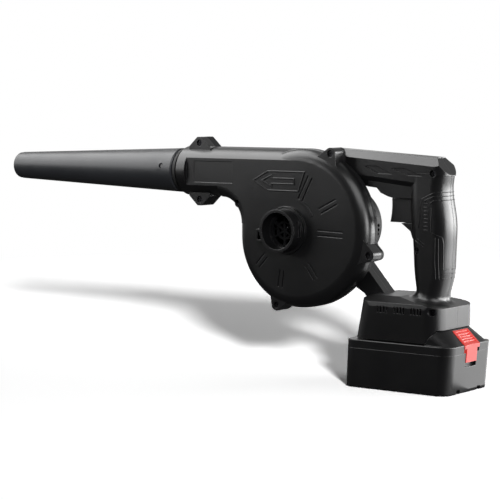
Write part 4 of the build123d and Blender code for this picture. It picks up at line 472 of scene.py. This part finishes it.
def cast_on(node, points, axis):
    """Points carried straight along an axis, both ways, onto the nearest face of a CAD node."""
    mesh = bpy.data.meshes.new("cast")
    mesh.vertices.add(len(points))
    mesh.vertices.foreach_set("co", points.astype(np.float32).ravel())
    holder = bpy.data.objects.new("cast", mesh)
    bpy.context.scene.collection.objects.link(holder)
    wrap = holder.modifiers.new("wrap", "SHRINKWRAP")
    wrap.target = NODES[node]
    wrap.wrap_method = "PROJECT"
    wrap.use_project_x = axis == "X"
    wrap.use_project_y = axis == "Y"
    wrap.use_positive_direction = True
    wrap.use_negative_direction = True
    seen = holder.evaluated_get(bpy.context.evaluated_depsgraph_get())
    landed = np.empty(len(points) * 3, np.float32)
    seen.data.vertices.foreach_get("co", landed)
    bpy.data.objects.remove(holder)
    bpy.data.meshes.remove(mesh)
    return landed.reshape(-1, 3).astype(float)


def ridge_on(node, path, axis, side):
    """A closed ridge along a broken line that is cast onto a face of a CAD node.

    The line lies in the plane across the axis. At each point P of it the section has four corners. The
    line's own normal m carries the two base corners to P + m b / 2 and P - m b / 2 for the base's width b,
    and the two top corners likewise for the top's width. The corners are cast onto the face at F, and with
    the face's normal n the base sits at F - n sink and the top at F + n rise.
    """
    line = resampled(path, RIDGE_STEP)
    along = np.gradient(line, axis=0)
    across = np.stack((-along[:, 1], along[:, 0]), axis=-1) / np.linalg.norm(along, axis=1)[:, None]
    widths = np.array((RIDGE_BASE, -RIDGE_BASE, -RIDGE_TOP, RIDGE_TOP)) / 2
    lifts = np.array((-RIDGE_SINK, -RIDGE_SINK, RIDGE_RISE, RIDGE_RISE))
    flat = (line[:, None] + across[:, None] * widths[None, :, None]).reshape(-1, 2)
    start = np.full(len(flat), CAST_START * side)
    columns = (flat[:, 0], start, flat[:, 1]) if axis == "Y" else (start, flat[:, 0], flat[:, 1])
    points = np.stack(columns, axis=-1) * MM
    nudge = CAST_NUDGE * MM
    other = (nudge, 0.0, 0.0) if axis == "Y" else (0.0, nudge, 0.0)
    face = cast_on(node, points, axis)
    beside = cast_on(node, points + other, axis)
    above = cast_on(node, points + (0.0, 0.0, nudge), axis)
    normal = np.cross(beside - face, above - face)
    normal /= np.linalg.norm(normal, axis=1)[:, None]
    outward = np.sign(normal[:, 1 if axis == "Y" else 0]) * side
    corners = face + normal * (outward * np.tile(lifts, len(line)) * MM)[:, None]
    ring = np.arange(len(widths))
    ends = np.stack((ring[::-1], ring + len(corners) - len(ring)))
    quads = np.concatenate((tube_faces(len(line), len(ring)), ends))
    a, b, c, d = (corners[quads[:, k]] for k in range(4))
    volume = np.einsum("ij,ij->i", a, np.cross(b, c) + np.cross(c, d)).sum()
    return corners, quads if volume > 0 else quads[:, ::-1]


def merged(shells):
    """Several closed shells of points and quads as one."""
    shifts = np.cumsum([0] + [len(points) for points, quads in shells[:-1]])
    return (np.concatenate([points for points, quads in shells]),
            np.concatenate([quads + shift for (points, quads), shift in zip(shells, shifts)]))


# Studio


def way_across(turn, drop):
    """The way (-sin t cos d, cos t cos d, -sin d), across the blower at a turn t round it and a drop d."""
    return Vector((-sin(turn) * cos(drop), cos(turn) * cos(drop), -sin(drop)))


def point_along(holder, way):
    """Turns a lamp or a camera to look along a way, with its top up."""
    holder.rotation_euler = way.to_track_quat("-Z", "Y").to_euler()


def floor_material():
    """Pale floor: it shows the shadow to the camera near the blower and is plain white further out."""
    made = bpy.data.materials.new("white_floor")
    made.use_nodes = True
    tree = made.node_tree
    tree.nodes.clear()
    result = add_node(tree, "ShaderNodeOutputMaterial")
    paint = add_node(tree, "ShaderNodeBsdfDiffuse", Color=FLOOR_PAINT)
    gain = bpy.context.scene.blower_studio.floor_gain
    near = add_node(tree, "ShaderNodeBsdfDiffuse", Color=(gain, gain, gain, 1.0))
    white = add_node(tree, "ShaderNodeEmission", Strength=1.0)
    place = add_node(tree, "ShaderNodeTexCoord").outputs["Object"]
    reach = add_node(tree, "ShaderNodeVectorMath", operation="LENGTH")
    tree.links.new(place, reach.inputs[0])
    far = add_node(tree, "ShaderNodeMapRange", interpolation_type="SMOOTHSTEP")
    far.inputs["From Min"].default_value = FLOOR_FADE[0]
    far.inputs["From Max"].default_value = FLOOR_FADE[1]
    tree.links.new(reach.outputs["Value"], far.inputs["Value"])
    fade = add_node(tree, "ShaderNodeMixShader")
    tree.links.new(far.outputs[0], fade.inputs[0])
    tree.links.new(near.outputs[0], fade.inputs[1])
    tree.links.new(white.outputs[0], fade.inputs[2])
    path = add_node(tree, "ShaderNodeLightPath")
    through = path.outputs["Is Transmission Ray"]
    seen = arithmetic(tree, "MAXIMUM", path.outputs["Is Camera Ray"], through)
    choose = add_node(tree, "ShaderNodeMixShader")
    tree.links.new(seen, choose.inputs[0])
    tree.links.new(paint.outputs[0], choose.inputs[1])
    tree.links.new(fade.outputs[0], choose.inputs[2])
    tree.links.new(choose.outputs[0], result.inputs["Surface"])
    return made


def floor_disc():
    """A round floor: rings of points at (r cos a, r sin a, -drop), closed by a hub in the middle."""
    rings = np.linspace(FLOOR_HUB, FLOOR_FADE[1], FLOOR_RINGS)
    turns = np.linspace(0, 2 * pi, FLOOR_TURNS, endpoint=False)
    reach, turn = np.meshgrid(rings, turns, indexing="ij")
    level = np.full_like(reach, -FLOOR_DROP)
    points = np.stack((reach * np.cos(turn), reach * np.sin(turn), level), axis=-1)
    points = np.concatenate((points.reshape(-1, 3), ((0.0, 0.0, -FLOOR_DROP),)))
    inner = np.arange(FLOOR_TURNS)
    hub = np.full(FLOOR_TURNS, len(points) - 1)
    centre = np.stack((inner, np.roll(inner, -1), hub), axis=-1)
    outside = tube_faces(FLOOR_RINGS, FLOOR_TURNS)[:, ::-1]
    mesh = bpy.data.meshes.new("floor")
    mesh.from_pydata(points.tolist(), [], outside.tolist() + centre.tolist())
    mesh.materials.append(floor_material())
    return bpy.data.objects.new("floor", mesh)


def light_world():
    """White to the camera and dim to surfaces; to reflections, pale behind the blower and dim in front."""
    world = bpy.data.worlds.new("studio")
    bpy.context.scene.world = world
    world.use_nodes = True
    tree = world.node_tree
    ground = tree.nodes["Background"]
    way = add_node(tree, "ShaderNodeTexCoord").outputs["Generated"]
    turn = bpy.context.scene.blower_studio.camera_turn
    facing = add_node(tree, "ShaderNodeVectorMath", operation="DOT_PRODUCT")
    tree.links.new(way, facing.inputs[0])
    facing.inputs[1].default_value = way_across(turn, 0.0)
    pale = add_node(tree, "ShaderNodeMapRange", interpolation_type="SMOOTHSTEP")
    pale.inputs["From Min"].default_value = SKY_FACING[0]
    pale.inputs["From Max"].default_value = SKY_FACING[1]
    pale.inputs["To Min"].default_value = SKY_GLOW[0]
    pale.inputs["To Max"].default_value = SKY_GLOW[1]
    tree.links.new(facing.outputs["Value"], pale.inputs["Value"])
    path = add_node(tree, "ShaderNodeLightPath")
    through = path.outputs["Is Transmission Ray"]
    mirrored = arithmetic(tree, "MAXIMUM", path.outputs["Is Glossy Ray"], through)
    shown = arithmetic(tree, "MULTIPLY", mirrored, pale.outputs[0])
    shown = arithmetic(tree, "MAXIMUM", shown, path.outputs["Is Camera Ray"])
    shown = arithmetic(tree, "MAXIMUM", shown, SKY_FILL)
    tree.links.new(shown, ground.inputs["Strength"])
    ground.inputs["Color"].default_value = (1.0, 1.0, 1.0, 1.0)


def soft_box(name, place, aim, width, height, power, sheen_only):
    """A rectangular lamp at a place that faces a point; with sheen_only it only makes highlights."""
    lamp = bpy.data.lights.new(name, "AREA")
    lamp.shape = "RECTANGLE"
    lamp.size = width
    lamp.size_y = height
    lamp.energy = power
    holder = bpy.data.objects.new(name, lamp)
    bpy.context.scene.collection.objects.link(holder)
    holder.location = place
    point_along(holder, Vector(aim) - Vector(place))
    holder.visible_camera = False
    holder.visible_diffuse = not sheen_only


def sun_lamp(name, turn, rise, spread, strength):
    """A far lamp at an angle round the blower from -Y towards +X and an angle above the floor."""
    lamp = bpy.data.lights.new(name, "SUN")
    lamp.angle = spread
    lamp.energy = strength
    holder = bpy.data.objects.new(name, lamp)
    bpy.context.scene.collection.objects.link(holder)
    point_along(holder, way_across(turn, rise))
    holder.visible_glossy = False


# Operators


class BLOWER_OT_housing(bpy.types.Operator):
    """Finishes the fan housing, its cover, the inlet guard and the seal"""
    bl_idname = "blower.housing"
    bl_label = "Finish the fan housing"

    def execute(self, context):
        look = context.scene.blower_finishes
        fineness = 1 / look.grain_size
        shell = moulded_plastic("charcoal_shell", look.shell_colour, look.shell_roughness, fineness)
        dress(("inlet_cover",), shell)
        dull = moulded_plastic("dull_shell", look.shell_colour, roughness=0.55, fineness=fineness,
                               specular=0.22)
        dress(("motor_housing", "motor_cover"), dull)
        # The inlet guard takes the battery's darker black with little gloss: its own black plastic,
        # darkened further as painted shade for the deep bore it sits in
        guard = moulded_plastic("guard_black_painted_shade", look.battery_colour, roughness=0.7, fineness=2000.0,
                                specular=0.1)
        dress(("inlet_guard",), guard)
        rubber = moulded_plastic("seal_rubber", RUBBER_COLOUR, roughness=0.62, fineness=2400.0,
                                 specular=0.4)
        dress(("outlet_ring",), rubber)
        return {"FINISHED"}


class BLOWER_OT_nozzle(bpy.types.Operator):
    """Finishes the tapered nozzle"""
    bl_idname = "blower.nozzle"
    bl_label = "Finish the nozzle"

    def execute(self, context):
        look = context.scene.blower_finishes
        satin = moulded_plastic("satin_nozzle", look.nozzle_colour, look.nozzle_roughness,
                                fineness=2200.0, relief=0.08)
        dress(("nozzle",), satin)
        return {"FINISHED"}


class BLOWER_OT_handle(bpy.types.Operator):
    """Finishes the handle halves, the trigger and the switch, and lays the relief on the grip"""
    bl_idname = "blower.handle"
    bl_label = "Finish the handle"

    def execute(self, context):
        look = context.scene.blower_finishes
        grip = moulded_plastic("charcoal_handle", look.shell_colour, look.shell_roughness,
                               1 / look.grain_size, seam=0.0)
        dress(("handle_left", "handle_right"), grip)
        front, rear = RUNG_ENDS
        near, far = BAND_REACH
        lines = GRIP_LINES + tuple(((front, z), (rear, z)) for z in np.linspace(*RUNG_SPAN, RUNG_COUNT))
        for label, side in (("left", -1), ("right", 1)):
            node = "handle_" + label
            shells = [ridge_on(node, line, "Y", side) for line in lines]
            shells += [ridge_on(node, ((side * near, z), (side * far, z)), "X", 1) for z in BAND_HEIGHTS]
            make_piece("grip_relief_" + label, *merged(shells), grip, "housing", "handle")
        trigger = moulded_plastic("trigger_black", look.shell_colour, roughness=0.4, fineness=2000.0)
        dress(("trigger",), trigger)
        switch = moulded_plastic("switch_black", SWITCH_COLOUR, roughness=0.45)
        dress(("trigger_switch", "terminal_block"), switch)
        return {"FINISHED"}


class BLOWER_OT_battery(bpy.types.Operator):
    """Finishes the battery's case, latch, cells and board"""
    bl_idname = "blower.battery"
    bl_label = "Finish the battery"

    def execute(self, context):
        look = context.scene.blower_finishes
        case = moulded_plastic("battery_black", look.battery_colour, roughness=0.33, fineness=1800.0)
        dress(("battery_lower_case", "battery_upper_case"), case)
        latch = moulded_plastic("coral_latch", look.latch_colour, roughness=0.34, fineness=2200.0,
                                relief=0.06, tone=0.05)
        dress(("battery_latch",), latch)
        dress_by_table(BATTERY_INSIDES, moulded_plastic)
        return {"FINISHED"}


class BLOWER_OT_metals(bpy.types.Operator):
    """Finishes the motor, the fan, the screws, the springs, the contacts and the leads"""
    bl_idname = "blower.metals"
    bl_label = "Finish the motor and metals"

    def execute(self, context):
        dress_by_table(BARE_METALS, bare_metal)
        dress(("windings",), wound_copper("wound_copper", COPPER_COLOUR))
        dress_by_table(MOTOR_INSIDES, moulded_plastic)
        return {"FINISHED"}


class BLOWER_OT_stage(bpy.types.Operator):
    """Makes the floor, the light and the camera"""
    bl_idname = "blower.stage"
    bl_label = "Set the studio"

    def execute(self, context):
        studio = context.scene.blower_studio
        floor = floor_disc()
        context.scene.collection.objects.link(floor)
        light_world()
        for lamp in SOFT_BOXES:
            soft_box(*lamp)
        sun_lamp("front_sun", SUN_TURN, SUN_RISE, SUN_SPREAD, SUN_STRENGTH)
        camera = bpy.data.objects.new("camera", bpy.data.cameras.new("camera"))
        context.scene.collection.objects.link(camera)
        camera.location = studio.camera_place
        point_along(camera, way_across(studio.camera_turn, studio.camera_drop))
        camera.data.sensor_fit = "HORIZONTAL"
        camera.data.sensor_width = SENSOR_WIDTH
        camera.data.lens = studio.lens
        context.scene.camera = camera
        context.scene.view_settings.view_transform = "Standard"
        return {"FINISHED"}


class BLOWER_PT_panel(bpy.types.Panel):
    """Lists the blower's steps in the sidebar"""
    bl_label = "Leaf blower"
    bl_space_type = "VIEW_3D"
    bl_region_type = "UI"
    bl_category = "Blower"

    def draw(self, context):
        for made in OPERATORS:
            self.layout.operator(made.bl_idname)
        for group in (context.scene.blower_finishes, context.scene.blower_studio):
            for key in group.__annotations__:
                self.layout.prop(group, key)


OPERATORS = (BLOWER_OT_housing, BLOWER_OT_nozzle, BLOWER_OT_handle, BLOWER_OT_battery, BLOWER_OT_metals,
             BLOWER_OT_stage)
CLASSES = (BlowerFinishes, BlowerStudio, *OPERATORS, BLOWER_PT_panel)


def register():
    """Registers the classes and hangs the settings on the scene."""
    for made in CLASSES:
        bpy.utils.register_class(made)
    bpy.types.Scene.blower_finishes = bpy.props.PointerProperty(type=BlowerFinishes)
    bpy.types.Scene.blower_studio = bpy.props.PointerProperty(type=BlowerStudio)


def unregister():
    """Takes the settings off the scene and the classes out."""
    del bpy.types.Scene.blower_studio
    del bpy.types.Scene.blower_finishes
    for made in reversed(CLASSES):
        bpy.utils.unregister_class(made)


def main():
    """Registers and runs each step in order."""
    register()
    bpy.ops.blower.stage()
    bpy.ops.blower.housing()
    bpy.ops.blower.nozzle()
    bpy.ops.blower.handle()
    bpy.ops.blower.battery()
    bpy.ops.blower.metals()


if __name__ == "__main__":
    main()
